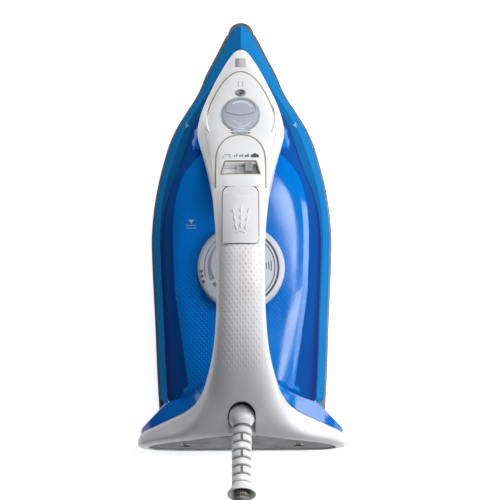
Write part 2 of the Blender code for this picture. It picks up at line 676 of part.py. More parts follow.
def add_steam_valve(housing, control):
    """Slider in the control panel's window, lifting a rod whose tip meters water into the chamber."""
    y = 24.2
    along, out = slope_at(y)
    centre = Vector((0, y, surface_z(0, y)))
    turn = Matrix((Vector((1, 0, 0)), -along, out)).transposed()

    def placed(name, low, high, mat, taper=1.0):
        points = []
        for z in (low[2], high[2]):
            for v, factor in ((low[1], taper), (high[1], 1.0)):
                for x in (low[0], high[0]):
                    points.append(centre + turn @ Vector((x * factor, v, z)))
        faces = [(0, 1, 3, 2), (4, 5, 7, 6), (0, 1, 5, 4), (2, 3, 7, 6), (0, 2, 6, 4), (1, 3, 7, 5)]
        return solid(name, points, faces, mat, centre)

    cut(control, placed("window", (-9.2, -6.4, -8), (9.2, 6.4, 8), PEARL, 1.25))
    cut(housing, placed("slider_room", (-12.9, -6.2, -9.0), (12.9, 5.2, -2.2), WHITE))
    placed("slider_guide", (-11.6, -4.6, -8.2), (11.6, 4.0, -6.2), SILVER)
    plate = placed("steam_slider", (-2.4, -4.6, -5.6), (10.4, 4.1, -3.8), SILVER)
    ridge = placed("ridge", (2.6, -4.4, -4.4), (7.0, 4.4, 0.9), SILVER)
    boolean(plate, ridge, "UNION")

    rod("steam_valve_rod", (0, VALVE_Y, 36.0), (0, VALVE_Y, 94.0), 1.6, STEEL, 12)
    pipe("valve_body", (0, VALVE_Y, 15.9), (0, VALVE_Y, 33.0), 5.4, 1.0, BRASS, 16)


def add_spray(housing):
    """Spray nozzle in the fascia, fed by the pump under the button."""
    y = 79.6
    out = slope_at(y)[1]
    mouth = Vector((0, y, surface_z(0, y)))
    nozzle = turned("spray_nozzle", [(2.2, -6.0), (2.2, -3.2), (3.0, -2.4), (3.0, 0.5), (2.4, 1.0)],
                    GREY, mouth, out, 16)
    bore = rod("nozzle_room", mouth - out * 7, mouth + out * 5, 3.3, GREY, 16)
    cut(bpy.data.objects["fascia_panel"], bore)
    cut(nozzle, rod("spray_hole", mouth - out * 2, mouth + out * 3, 0.6, GREY, 8))

    top, bottom = 111.0, 97.5
    floor = bottom + 1
    body = [(5.4, bottom), (5.4, top), (4.3, top), (4.3, floor), (1.2, floor), (1.2, bottom), (5.4, bottom)]
    turned("pump_body", body, BLACK, (0, PUMP_Y, 0), (0, 0, 1), 16)
    piston = [(3.95, 103.4), (3.95, 105.8), (1.5, 106.0), (1.5, 117.2)]
    turned("pump_piston", piston, WHITE, (0, PUMP_Y, 0), (0, 0, 1), 16)
    coil = []
    radius, spring_low, spring_length = 3.0, 106.8, 9.0
    steps = 4 * 8
    for k in range(steps + 1):
        angle = 2 * math.pi * k / 8
        height = spring_low + spring_length * k / steps
        coil.append((radius * math.cos(angle), PUMP_Y + radius * math.sin(angle), height))
    tube("pump_spring", coil, 0.4, STEEL, 5.0, 1)
    cut(housing, rod("spring_room", (0, PUMP_Y, 106.0), (0, PUMP_Y, 116.4), 3.8, WHITE, 12))
    low = [(0, SUCTION_Y, 34), (0, SUCTION_Y, 58), (0, SUCTION_Y, 80)]
    bend = [(0, SUCTION_Y - 1.2, 86), (0, PUMP_Y + 1.0, 91), (0, PUMP_Y, 94.6), (0, PUMP_Y, 97.1)]
    tube("suction_hose", low + bend, 1.9, CLEAR, 9.0)
    pump_side = [(7.2, PUMP_Y + 1, 100), (9.6, PUMP_Y + 6, 96), (12.5, 24, 88), (14.5, 36, 79), (15, 50, 70)]
    under_tip = [(13.6, 62, 61), (11, 69, 56.4), (7.6, 71.6, 54.4), (3.2, 73, 53.6), (0.3, 74.3, 55)]
    tube("spray_hose", [*pump_side, *under_tip, tuple(mouth - out * 6.5)], 1.5, CLEAR, 9.0)


# The button's outline: y and half-width.
BUTTON = [(11.3, 8.6), (9.6, 10.0), (3.6, 10.4), (-6.0, 10.4), (-16.0, 10.4), (-24.0, 10.2),
          (-25.7, 9.0)]
BUTTON_HALF = 10.4
BUTTON_CROWN = 2.4


def button_rings(rows, above, floor, columns=6):
    """Crowned block over the grip's surface; its underside follows the floor's height along y."""
    rings = []
    for y, half in rows:
        across = [half * (2 * k / columns - 1) for k in range(columns + 1)]
        front_drop = 1.6 * max(0.0, (y - 3.6) / 7.7)
        ridge = surface_z(0, y) + above - front_drop
        top = [(x, y, ridge - BUTTON_CROWN * (x / BUTTON_HALF) ** 2) for x in across]
        bottom = [(x, y, floor(y)) for x in reversed(across)]
        rings.append(top + bottom)
    return rings


def button_floor(y):
    """The underside steps up behind the pump, clear of the grip's lower half when pressed."""
    share = min(1.0, max(0.0, (-6.0 - y) / 8.0))
    return 117.6 + 5.8 * share


def add_button(housing):
    """The spray button, sunk into the grip over the pump."""
    home = (0, PUMP_Y, 118.0)
    loft("spray_button", button_rings(BUTTON, 1.4, button_floor), WHITE, home)
    clear, end_clear = 0.45, 0.5
    room = [(y, half + clear) for y, half in BUTTON]
    room[0] = (BUTTON[0][0] + end_clear, room[0][1])
    room[-1] = (BUTTON[-1][0] - end_clear, room[-1][1])
    cut(housing, loft("button_room", button_rings(room, 12.0, lambda y: 110.0), WHITE))


# ---------------------------------------------------------------- housing, heel and dial


def housing_solid(name, inset, stations, mat, drop=0.0, lift=0.0, count=20):
    return loft(name, [station_ring(s, inset, count, drop, lift) for s in stations], mat)


def extruded(name, profile, half, mat):
    """A plate cut from a side-view outline of (y, z) points, symmetric in x."""
    rings = [[(x, y, z) for y, z in profile] for x in (-half, half)]
    return loft(name, rings, mat)


def add_housing():
    shell = housing_solid("handle_housing", 0.0, HOUSING, WHITE, count=18)
    rings = []
    for s in HOUSING[2:-2]:
        open_below = s[0] > 10
        rings.append(station_ring(s, 4.6 if open_below else 2.6, 14, 18.0 if open_below else 0.0))
    cut(shell, loft("housing_hollow", rings, WHITE))
    return shell


def grip_split(name, gap):
    """Side-view slab that holds the underside of the grip."""
    grip = [s for s in HOUSING if -76 < s[0] < -15]
    upper = []
    for s in grip:
        top, low = Vector((s[0], s[1])), Vector((s[2], s[3]))
        upper.append(low + (top - low) * 0.45 + Vector((0, gap)))
    upper[0].x += gap
    upper[-1].x -= gap
    profile = [tuple(p) for p in upper] + [(upper[-1].x, 96.0), (upper[0].x, 96.0)]
    return extruded(name, profile, 30.0, WHITE)


def add_underside(housing):
    cover = housing_solid("handle_underside", 0.0, [s for s in HOUSING if -100 < s[0] < 7], WHITE)
    grip = [s for s in HOUSING if -110 < s[0] < 14]
    cut(cover, housing_solid("underside_hollow", 2.6, grip, WHITE, count=16))
    boolean(cover, grip_split("underside_keep", 0.0), "INTERSECT")
    cut(housing, grip_split("underside_room", GAP))


REAR_PLATE = [(40.0, 25.5), (54.0, 28.5), (58.0, 34.0), (56.0, 41.0), (48.0, 48.0), (38.0, 53.5),
              (27.0, 58.0), (16.0, 61.5), (9.0, 63.0)]


def rear_face_y(z):
    """The heel's flat rear face leans forward as it rises."""
    return table([(22.0, -141.0), (63.5, -133.6)], z, 1)


def rear_plate(name, by, near, far, mat):
    rings = []
    for depth in (near, far):
        right = []
        for x, z in REAR_PLATE:
            tall = z + (-by if z < 30 else by)
            right.append((x + by, rear_face_y(tall) + depth, tall))
        rings.append(right + [(-x, y, z) for x, y, z in reversed(right)])
    return loft(name, rings, mat)


SCREW_X = 35.0
SCREW_Z = 38.0


def add_rear_cover(housing):
    cut(housing, rear_plate("cover_room", GAP, -3.0, 2.6, WHITE))
    cut(housing, rear_plate("terminal_room", -4.0, -3.0, 10.0, WHITE))
    cover = rear_plate("rear_cover", 0.0, 0.4, 2.3, GREY)
    for name, x in (("rear_screw_left", -SCREW_X), ("rear_screw_right", SCREW_X)):
        y = rear_face_y(SCREW_Z)
        cut(cover, rod(f"{name}_hole", (x, y - 4, SCREW_Z), (x, y + 6, SCREW_Z), 2.1, GREY, 12))
        screw = [(3.4, 0.0), (3.4, 1.4), (1.7, 1.5), (1.7, 9.5)]
        turned(name, screw, STEEL, (x, y - 1.9, SCREW_Z), (0, 1, 0), 12)


def add_dial():
    centre = (0, DIAL_Y, TANK_TOP_Z)
    bottom, top = 1.2, 7.0
    profile = [(DIAL_RADIUS - 0.8, bottom), (DIAL_RADIUS, bottom + 0.8), (DIAL_RADIUS, top - 1.6),
               (DIAL_RADIUS - 1.0, top - 0.3), (DIAL_RADIUS - 2.4, top), (0.5, top)]
    turned("temperature_dial", profile, DIAL_GREY, centre, (0, 0, 1), 36)
    rod("dial_shaft", (0, DIAL_Y, 27.5), (0, DIAL_Y, TANK_TOP_Z + bottom - GAP), 3.0, BRASS, 12)


# ---------------------------------------------------------------- cord entry and cord


def guard_line():
    rise = math.radians(GUARD_RISE)
    return Vector((0, -math.cos(rise), math.sin(rise)))


def add_cord_entry(housing):
    """Swivelling ball and segmented guard in a notch at the top of the heel."""
    slot = []
    for z in (66.0, 130.0):
        ring = []
        for k in range(9):
            angle = math.pi * k / 8
            ring.append((8.75 * math.cos(angle), BALL_CENTRE.y + 0.8 + 8.75 * math.sin(angle), z))
        slot.append([(8.75, -160.0, z)] + ring + [(-8.75, -160.0, z)])
    cut(housing, loft("guard_slot", slot, WHITE))
    line = guard_line()
    rings = []
    ball = 7.8
    for k in range(8):
        angle = math.pi * (0.06 + 0.72 * k / 7)
        rings.append((ball * math.sin(angle), -ball * math.cos(angle)))
    profile = rings + [(5.6, 6.8)]
    turned("cord_ball", profile, WHITE, BALL_CENTRE, line, 20)
    guard = [(5.6, 7.1)]
    for k in range(7):
        start = 9.0 + k * 5.4
        guard += [(5.9, start), (5.9, start + 3.4), (5.0, start + 3.8), (5.0, start + 5.0)]
    guard += [(5.9, 47.0), (8.3, 50.0), (8.5, 52.0)]
    bore = [(4.2, 52.0), (4.2, 7.1), guard[0]]
    turned("cord_guard", guard + bore, WHITE, BALL_CENTRE, line, 12, BALL_CENTRE)
    socket = block("swivel_socket", (-11, -123.5, 67.5), (11, -112.5, 71.6), GREY)
    clamp = block("cord_clamp", (-9, -131, 51), (9, -123, 57), GREY, 0.6)
    lead = [(0, -122.5, 71.5), (0, -122.8, 66), (0, -125.6, 59), (0, -127, 52), (0, -127.5, 46.6)]
    room = rod("lead_room", (0, -122.6, 73), (0, -122.6, 65), 3.2, GREY, 10)
    cut(socket, room)
    cut(clamp, rod("clamp_bore", (0, -125.6, 60), (0, -127.2, 50), 2.8, GREY, 10))
    tube("inner_lead", lead, 1.8, BLACK, 6.0)
    block("terminal_block", (-14, -134.4, 36), (14, -126.7, 46), WHITE, 0.6)


def add_cord():
    """The free cord, its coil held by a tie, and the two-pin earthed plug."""
    tube("mains_cord", CORD_ROUTE, CORD_RADIUS, BRAID, 10.0)
    tube("mains_cord_tail", TAIL_ROUTE, CORD_RADIUS, BRAID, 10.0)
    x, y = COIL_CENTRE
    wide, narrow, high = COIL_OUTER_RADIUS, COIL_INNER_RADIUS, COIL_HEIGHT
    ring = [(wide - 2.5, 0.0), (wide, 2.5), (wide, high - 2.5), (wide - 2.5, high), (narrow + 2.5, high),
            (narrow, high - 2.5), (narrow, 2.5), (narrow + 2.5, 0.0), (wide - 2.5, 0.0)]
    coil = turned("cord_coil", ring, BRAID, (x, y, 0), (0, 0, 1), 24)
    tie_in, tie_out = narrow - 2.6, wide + 1.6
    tie = block("cord_tie", (x + tie_in, y - 6, 0.3), (x + tie_out, y + 6, high + 1.6), BLACK)
    bore = block("tie_bore", (x + narrow - 1.4, y - 9, 0.9), (x + wide + 0.5, y + 9, high + 0.4), BLACK)
    cut(tie, bore)
    cut(coil, block("tie_seat", (x + 20, y - 6.4, -3), (x + 60, y + 6.4, 1.2), BRAID))

    relief_and_grip = [(4.6, 0.0), (5.6, 1.0), (6.4, 17.0), (12.0, 19.0), (13.2, 24.0), (12.4, 38.0)]
    face = [(PLUG_RADIUS - 1, 41.0), (PLUG_RADIUS, 42.5), (PLUG_RADIUS, 54.0), (PLUG_RADIUS - 1, 55.0)]
    turned("plug_body", relief_and_grip + face, BLACK, PLUG_BACK, (0, -1, 0), 20)
    for name, side in (("plug_pin_left", -1), ("plug_pin_right", 1)):
        start = PLUG_BACK + Vector((side * PIN_SPACING / 2, -55.0 - GAP, 0))
        turned(name, [(2.4, 0.0), (2.4, 17.6), (1.2, 19.0)], BRASS, start, (0, -1, 0), 12)


# ---------------------------------------------------------------- assembly

nose = (115.1, 36.2, 114.5, 33.7, 1.4, 0.00, 2.2, 8.0)
seat_stations = [nose] + [s for s in HOUSING if 12 < s[0] < 114]
seat = housing_solid("housing_seat", -GAP, seat_stations, WHITE, lift=30.0)

add_soleplate()
add_heater()
add_thermostat()
add_skirt(seat)
add_tank(seat)
housing = add_housing()
add_underside(housing)
add_rear_cover(housing)
control = add_front(housing)
add_steam_valve(housing, control)
add_spray(housing)
add_button(housing)
add_dial()
add_cord_entry(housing)
add_cord()
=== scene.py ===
"""Steam iron: fine shells, marks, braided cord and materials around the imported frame.

Lengths in the tables are millimetres and MM turns them into metres. +Y points to the nose, +Z up.
"""

import math

import bmesh
import bpy
import numpy as np
from mathutils import Matrix, Vector


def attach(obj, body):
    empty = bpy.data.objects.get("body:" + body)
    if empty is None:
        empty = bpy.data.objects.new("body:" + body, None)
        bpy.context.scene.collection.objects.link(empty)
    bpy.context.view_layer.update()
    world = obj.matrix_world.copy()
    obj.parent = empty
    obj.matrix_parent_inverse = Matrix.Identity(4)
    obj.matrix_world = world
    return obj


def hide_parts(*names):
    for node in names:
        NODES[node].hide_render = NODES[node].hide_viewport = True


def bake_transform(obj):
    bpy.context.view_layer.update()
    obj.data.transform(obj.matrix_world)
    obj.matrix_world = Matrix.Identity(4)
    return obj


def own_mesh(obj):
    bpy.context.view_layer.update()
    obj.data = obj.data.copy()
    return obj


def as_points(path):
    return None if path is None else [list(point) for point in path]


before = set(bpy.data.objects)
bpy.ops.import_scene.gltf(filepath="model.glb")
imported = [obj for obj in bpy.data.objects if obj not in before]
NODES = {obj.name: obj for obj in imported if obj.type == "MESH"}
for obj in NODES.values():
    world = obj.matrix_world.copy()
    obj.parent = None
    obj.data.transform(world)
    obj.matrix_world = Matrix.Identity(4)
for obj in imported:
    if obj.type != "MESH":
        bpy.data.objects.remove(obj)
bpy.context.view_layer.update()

MM = 0.001
SIDES = ((-1, "left"), (1, "right"))


# ---------------------------------------------------------------- camera, lights and world

VIEW_TARGET = Vector((5.4, -18.8, 60.0)) * MM
VIEW_ELEVATION = math.radians(82.0)
VIEW_DISTANCE = 1.1
VIEW_ROLL = math.radians(-0.25)

camera = bpy.data.objects.new("camera", bpy.data.cameras.new("camera"))
bpy.context.scene.collection.objects.link(camera)
camera.data.lens = 128.4
camera.data.sensor_width = 36.0
back = Vector((0, -math.cos(VIEW_ELEVATION), math.sin(VIEW_ELEVATION)))
camera.location = VIEW_TARGET + back * VIEW_DISTANCE
turn = (-back).to_track_quat("-Z", "Y").to_matrix().to_4x4() @ Matrix.Rotation(VIEW_ROLL, 4, "Z")
camera.rotation_euler = turn.to_euler()
bpy.context.scene.camera = camera
bpy.context.scene.view_settings.view_transform = "Standard"


def area_light(name, place, target, size, power, colour=(1, 1, 1)):
    light = bpy.data.lights.new(name, "AREA")
    light.shape = "RECTANGLE"
    light.size, light.size_y = size
    light.energy = power
    light.color = colour
    obj = bpy.data.objects.new(name, light)
    obj.location = place
    obj.rotation_euler = (Vector(target) - Vector(place)).to_track_quat("-Z", "Y").to_euler()
    bpy.context.scene.collection.objects.link(obj)


area_light("key_right", (1.05, 0.12, 0.68), (0, 0, 0.05), (0.5, 0.9), 11.0)
area_light("front", (0.05, 1.15, 0.95), (0, 0, 0.05), (0.8, 0.4), 9.5)
area_light("right_strip", (0.42, -0.02, 0.98), (0.034, -0.05, 0.07), (0.09, 0.5), 2.4)
area_light("tank_glint", (0.185, 0.168, 1.138), (0.03, 0, 0.07), (0.24, 0.10), 0.9)
world = bpy.data.worlds.new("studio")
world.use_nodes = True
world.node_tree.nodes["Background"].inputs["Color"].default_value = (0.93, 0.96, 1.0, 1)
world.node_tree.nodes["Background"].inputs["Strength"].default_value = 0.03
bpy.context.scene.world = world


# ---------------------------------------------------------------- tables shared with the frame

NOSE_TIP_Y = 138.5
NOSE_TIP_RADIUS = 6.8
BODY_REAR_Y = -113.5
SOLE_THICKNESS = 3.0
SOLE_TIP_RADIUS = 8.4
SOLE_TIP_Y = 141.0 - SOLE_TIP_RADIUS
SKIRT_TOP_Z = 28.0
SKIRT_LEAN = 0.22
SOLE_PROUD = 1.2
SOLE_NOSE_START, SOLE_NOSE_RUN, SOLE_NOSE_SHIFT = 90.0, 45.0, 1.6
MIDDLE_START, MIDDLE_RUN = 10.0, 70.0
NOSE_START, NOSE_RUN = 98.0, 32.0
NOSE_INSET_GAIN = 0.7
PROW_MIDDLE_GAIN = 0.55
PROW_NOSE_GAIN = 1.08
TANK_TOP_Z = 70.5
RING_REACH = 26.0
DIAL_Y = -31.8
DIAL_RADIUS = 26.5
BALL_CENTRE = Vector((0.0, -122.5, 80.0))
GUARD_RISE = math.radians(28.0)
CORD_RADIUS = 3.5
COIL_CENTRE = (15.5, -262.0)

PLAN = [
    (-113.5, 52.0), (-98.3, 53.0), (-77.8, 54.0), (-57.3, 54.9), (-36.7, 56.0), (-16.0, 57.0),
    (-5.5, 57.3), (4.9, 56.9), (15.3, 55.9), (25.8, 54.4), (36.3, 52.3), (46.9, 49.6),
    (57.4, 46.6), (68.0, 42.2), (78.7, 36.0), (89.3, 29.2), (94.6, 26.3), (105.3, 21.8),
    (116.0, 16.1), (126.8, 10.5), (135.0, 6.0),
]

# Stations of the white housing: top y, top z, low y, low z, half-width, share of the height below the
# widest point, roundness of the top, roundness of the bottom.
HOUSING = [
    (114.6, 36.2, 114.0, 34.0, 0.5, 0.00, 2.2, 8.0),
    (113.6, 37.3, 113.2, 34.6, 2.9, 0.00, 2.2, 8.0),
    (111.9, 39.2, 111.6, 35.0, 4.7, 0.00, 2.3, 8.0),
    (109.7, 41.5, 109.4, 35.5, 6.3, 0.00, 2.4, 8.0),
    (104.0, 46.3, 104.0, 37.5, 9.6, 0.00, 2.5, 8.0),
    (98.0, 50.6, 98.0, 40.0, 12.7, 0.00, 2.6, 8.0),
    (86.2, 58.6, 86.2, 45.5, 18.0, 0.00, 2.8, 8.0),
    (74.5, 66.6, 74.5, 51.5, 22.6, 0.00, 3.0, 8.0),
    (63.0, 75.0, 63.0, 57.5, 25.8, 0.00, 3.1, 8.0),
    (54.0, 82.0, 54.0, 62.2, 26.9, 0.00, 3.2, 8.0),
    (44.1, 90.0, 44.1, 68.2, 25.2, 0.08, 3.2, 8.0),
    (37.6, 95.5, 37.6, 69.8, 23.4, 0.18, 3.2, 8.0),
    (31.1, 101.0, 31.1, 69.8, 21.7, 0.26, 3.2, 8.0),
    (24.7, 107.0, 24.7, 69.8, 20.2, 0.34, 3.2, 8.0),
    (18.4, 113.2, 18.4, 69.8, 18.9, 0.42, 3.1, 8.0),
    (12.2, 119.5, 12.4, 70.6, 17.8, 0.48, 3.0, 6.0),
    (6.0, 125.2, 8.6, 78.0, 17.0, 0.52, 2.8, 4.5),
    (-1.0, 130.2, 5.0, 88.0, 16.3, 0.54, 2.6, 3.4),
    (-9.0, 134.3, 0.5, 98.0, 15.6, 0.56, 2.5, 2.8),
    (-18.0, 137.0, -8.0, 106.0, 14.8, 0.58, 2.4, 2.5),
    (-30.0, 138.0, -24.0, 109.5, 14.2, 0.58, 2.3, 2.4),
    (-45.0, 137.0, -42.0, 109.5, 14.1, 0.58, 2.3, 2.4),
    (-60.0, 134.0, -58.0, 108.0, 14.2, 0.58, 2.3, 2.4),
    (-74.0, 129.5, -70.0, 104.5, 14.9, 0.56, 2.3, 2.4),
    (-87.0, 123.0, -80.0, 99.5, 16.2, 0.54, 2.4, 2.4),
    (-99.0, 114.5, -88.5, 92.5, 18.3, 0.52, 2.5, 2.5),
    (-109.0, 104.5, -95.5, 84.5, 20.8, 0.50, 2.7, 2.6),
    (-117.0, 93.5, -101.0, 77.0, 23.2, 0.50, 3.0, 2.8),
    (-123.5, 82.0, -104.5, 71.0, 26.0, 0.50, 3.6, 3.0),
    (-129.0, 71.5, -108.0, 65.0, 30.0, 0.50, 5.0, 2.5),
    (-133.0, 63.5, -111.5, 60.0, 37.0, 0.55, 7.0, 2.3),
    (-135.4, 56.5, -114.5, 55.0, 47.0, 0.60, 8.0, 2.1),
    (-137.0, 49.0, -118.0, 49.0, 56.5, 0.65, 8.0, 2.0),
    (-138.6, 41.5, -121.0, 41.5, 63.0, 0.68, 8.0, 2.0),
    (-139.7, 33.5, -124.0, 33.5, 64.8, 0.68, 8.0, 2.0),
    (-140.6, 26.5, -126.5, 26.5, 62.5, 0.66, 8.0, 2.2),
    (-141.0, 22.0, -128.0, 22.0, 58.0, 0.64, 8.0, 2.4),
]

# The tank's levels: z, lean of the flank, front end, rear end.
TANK_LEVELS = [
    (28.3, 0.0, 91.0, -113.2), (45.0, 2.0, 88.5, -111.5), (58.0, 4.2, 70.0, -110.0),
    (66.0, 7.5, 54.0, -105.8), (69.2, 12.0, 46.0, -103.2), (70.0, 17.0, 40.0, -100.5),
    (70.3, 23.0, 34.0, -96.0), (70.5, 30.0, 26.0, -88.0),
]

CORD_ROUTE = [
    (0.0, -149.0, 94.1), (0.0, -159.6, 99.7), (0.0, -168.4, 104.4), (-0.2, -176.8, 108.3),
    (-0.8, -186.0, 110.8), (-2.0, -195.4, 110.6), (-3.8, -204.2, 107.0), (-6.0, -211.4, 100.4),
    (-8.4, -216.8, 91.6), (-11.0, -220.6, 81.6), (-13.6, -223.4, 71.4), (-16.2, -226.2, 61.4),
    (-18.9, -229.6, 51.8), (-21.6, -234.2, 43.0), (-24.2, -240.2, 35.4), (-26.6, -247.4, 29.5),
    (-28.4, -255.6, 25.7), (-29.4, -264.4, 23.9),
]
TAIL_ROUTE = [
    (9.0, -208.6, 3.8), (0.0, -209.8, 3.8), (-9.0, -211.0, 3.8), (-18.0, -212.6, 3.9),
    (-26.8, -215.4, 4.3), (-35.0, -219.6, 5.3), (-42.4, -225.2, 6.9), (-48.8, -231.9, 9.0),
    (-53.9, -239.6, 11.5), (-57.5, -248.1, 14.1), (-59.7, -257.1, 16.5), (-60.7, -266.4, 18.3),
    (-61.0, -273.0, 18.8),
]


# ---------------------------------------------------------------- shape tools


def smooth_through(knots, values):
    """A smooth function through the values that never overshoots them."""
    x, y = np.array(knots, float), np.array(values, float)
    step = np.diff(x)
    slope = np.diff(y) / step
    lean = np.zeros_like(y)
    lean[0], lean[-1] = slope[0], slope[-1]
    for k in range(1, len(x) - 1):
        if slope[k - 1] * slope[k] > 0:
            first, second = 2 * step[k] + step[k - 1], step[k] + 2 * step[k - 1]
            lean[k] = (first + second) / (first / slope[k - 1] + second / slope[k])

    def at(place):
        place = float(min(max(place, x[0]), x[-1]))
        k = int(min(max(np.searchsorted(x, place) - 1, 0), len(x) - 2))
        s = (place - x[k]) / step[k]
        start = (1 + 2 * s) * (1 - s) ** 2 * y[k] + s * (1 - s) ** 2 * step[k] * lean[k]
        return start + s * s * (3 - 2 * s) * y[k + 1] + s * s * (s - 1) * step[k] * lean[k + 1]

    return at


def piece(name, points, faces, mat, body="iron", slot=None, sharp=35, stands_for=()):
    """A closed mesh from points in millimetres, riding on a body; a cutter has no material."""
    mesh = bpy.data.meshes.new(name)
    mesh.from_pydata([Vector(p) * MM for p in points], [], faces)
    shell = bmesh.new()
    shell.from_mesh(mesh)
    bmesh.ops.remove_doubles(shell, verts=shell.verts, dist=1e-6)
    bmesh.ops.recalc_face_normals(shell, faces=shell.faces)
    shell.to_mesh(mesh)
    shell.free()
    if mat:
        mesh.materials.append(mat)
    mesh.shade_smooth()
    mesh.set_sharp_from_angle(angle=math.radians(sharp))
    obj = bpy.data.objects.new(name, mesh)
    bpy.context.scene.collection.objects.link(obj)
    if mat:
        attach(obj, body)
        slot or SLOT_OF[mat.name]
    if stands_for:
        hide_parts(*stands_for)
    return obj


def turns(count):
    """The angles of one full turn in equal steps."""
    return [2 * math.pi * k / count for k in range(count)]


def oval(x, y, wide, high, count=20):
    return [(x + wide * math.cos(a), y + high * math.sin(a)) for a in turns(count)]


def bow(x, y, wide, high, start, end, steps):
    """Points on an arc of an oval, from one angle to another in degrees."""
    angles = [math.radians(start + (end - start) * k / steps) for k in range(steps + 1)]
    return [(x + wide * math.cos(a), y + high * math.sin(a)) for a in angles]


def loft_faces(rows, count, closed_ends=True):
    faces = [tuple(range(count)), tuple(range((rows - 1) * count, rows * count))] if closed_ends else []
    for row in range(rows - 1):
        for k in range(count):
            a, b = row * count + k, row * count + (k + 1) % count
            faces.append((a, b, b + count, a + count))
    return faces


def loft(name, rings, mat, **more):
    points = [p for ring in rings for p in ring]
    return piece(name, points, loft_faces(len(rings), len(rings[0])), mat, **more)


def turned(name, profile, mat, centre=(0, 0, 0), axis=(0, 0, 1), sides=64, **more):
    """A piece turned from (radius, height) points; a closed profile makes a ring."""
    spin = Vector((0, 0, 1)).rotation_difference(Vector(axis)).to_matrix()
    home = Vector(centre)
    points = []
    for radius, height in profile:
        for angle in turns(sides):
            points.append(home + spin @ Vector((radius * math.cos(angle), radius * math.sin(angle), height)))
    faces = loft_faces(len(profile), sides, profile[0] != profile[-1])
    return piece(name, points, faces, mat, **more)


def apply_cut(target, others, operation="DIFFERENCE"):
    """Cuts the others from the target and removes them."""
    for other in others:
        change = target.modifiers.new("cut", "BOOLEAN")
        change.solver = "EXACT"
        change.operation = operation
        change.object = other
    graph = bpy.context.evaluated_depsgraph_get()
    made = bpy.data.meshes.new_from_object(target.evaluated_get(graph))
    made.materials.clear()
    for mat in target.data.materials:
        made.materials.append(mat)
    target.modifiers.clear()
    target.data = made
    made.shade_smooth()
    made.set_sharp_from_angle(angle=math.radians(35))
    for other in others:
        bpy.data.objects.remove(other, do_unlink=True)


def soften(obj, width, segments=2, angle=40):
    edge = obj.modifiers.new("soft_edge", "BEVEL")
    edge.width = width * MM
    edge.segments = segments
    edge.limit_method = "ANGLE"
    edge.angle_limit = math.radians(angle)
    edge.harden_normals = False


# ---------------------------------------------------------------- outlines of the shells

plan_curve = smooth_through(*zip(*PLAN))


def plan_half(y):
    if y <= PLAN[-1][0]:
        return plan_curve(y)
    centre = NOSE_TIP_Y - NOSE_TIP_RADIUS
    return math.sqrt(max(0.0, NOSE_TIP_RADIUS**2 - (y - centre) ** 2))


def ease(share):
    share = min(1.0, max(0.0, share))
    return share * share * (3 - 2 * share)


def nose_gain(y):
    """The body's flanks lean more towards the nose."""
    return 1.0 + NOSE_INSET_GAIN * ease((y - NOSE_START) / NOSE_RUN)


def prow_gain(y):
    """The skirt leans in more towards the nose."""
    middle = PROW_MIDDLE_GAIN * ease((y - MIDDLE_START) / MIDDLE_RUN)
    return 1.0 + middle + PROW_NOSE_GAIN * ease((y - NOSE_START) / NOSE_RUN)


def body_half(y, inset, lean=0.0):
    return plan_half(y) - inset * nose_gain(y) - lean * prow_gain(y)


def front_of(half, low=60.0, high=NOSE_TIP_Y):
    for _ in range(50):
        middle = (low + high) / 2
        if half(middle) > 0.02:
            low = middle
        else:
            high = middle
    return low


def outline(half, rear, front, z, count=70):
    right = []
    for k in range(count):
        y = rear + (front - rear) * (1 - (1 - k / count) ** 1.7)
        right.append((half(y), y, z))
    left = [(-x, y, h) for x, y, h in reversed(right)]
    return right + [(0.0, front, z)] + left


def body_ring(inset, z, rear_inset=0.0, rear=None, lean=0.0):
    corner = 5.0

    def half(y):
        round_off = max(0.0, corner - (y - start)) if rear is None else 0.0
        return body_half(y, inset, lean) - corner * (1 - math.sqrt(1 - (round_off / corner) ** 2))

    start = BODY_REAR_Y + rear_inset if rear is None else rear
    return outline(half, start, front_of(lambda y: body_half(y, inset, lean)), z)


def skirt_lean(z):
    return (z - SOLE_THICKNESS) * SKIRT_LEAN


# the housing's stations as smooth functions of the way along its top line
way = [0.0]
for before, after in zip(HOUSING, HOUSING[1:]):
    way.append(way[-1] + math.hypot(after[0] - before[0], after[1] - before[1]))
housing_columns = [smooth_through(way, [s[c] for s in HOUSING]) for c in range(8)]
way_at_y = smooth_through([-s[0] for s in HOUSING], way)


def station(at):
    return [column(at) for column in housing_columns]


def station_ring(row, inset=0.0, count=96, lift=0.0):
    top, low = Vector((0, row[0], row[1])), Vector((0, row[2], row[3]))
    rise = (top - low).normalized()
    top = top - rise * (inset - lift)
    low = low + rise * inset
    half = max(0.2, row[4] - inset)
    height = (top - low).length
    belly = row[5] * height
    ring = []
    for k in range(count):
        angle = 2 * math.pi * (k + 0.5) / count
        across, up = math.cos(angle), math.sin(angle)
        power = row[6] if up >= 0 else row[7]
        x = math.copysign(half * abs(across) ** (2 / power), across)
        if up >= 0:
            v = belly + (height - belly) * up ** (2 / power)
        else:
            v = belly - belly * (-up) ** (2 / power)
        ring.append(low + rise * v + Vector((x, 0, 0)))
    return ring


def surface_z(x, y):
    """Height of the housing's upper surface over the front slope."""
    row = station(way_at_y(-y))
    belly = row[3] + row[5] * (row[1] - row[3])
    across = min(0.985, abs(x) / row[4])
    return belly + (row[1] - belly) * (1 - across ** row[6]) ** (1 / row[6])


def surface_normal(x, y):
    e = 0.3
    slope_x = (surface_z(x + e, y) - surface_z(x - e, y)) / (2 * e)
    slope_y = (surface_z(x, y + e) - surface_z(x, y - e)) / (2 * e)
    return Vector((-slope_x, -slope_y, 1)).normalized()


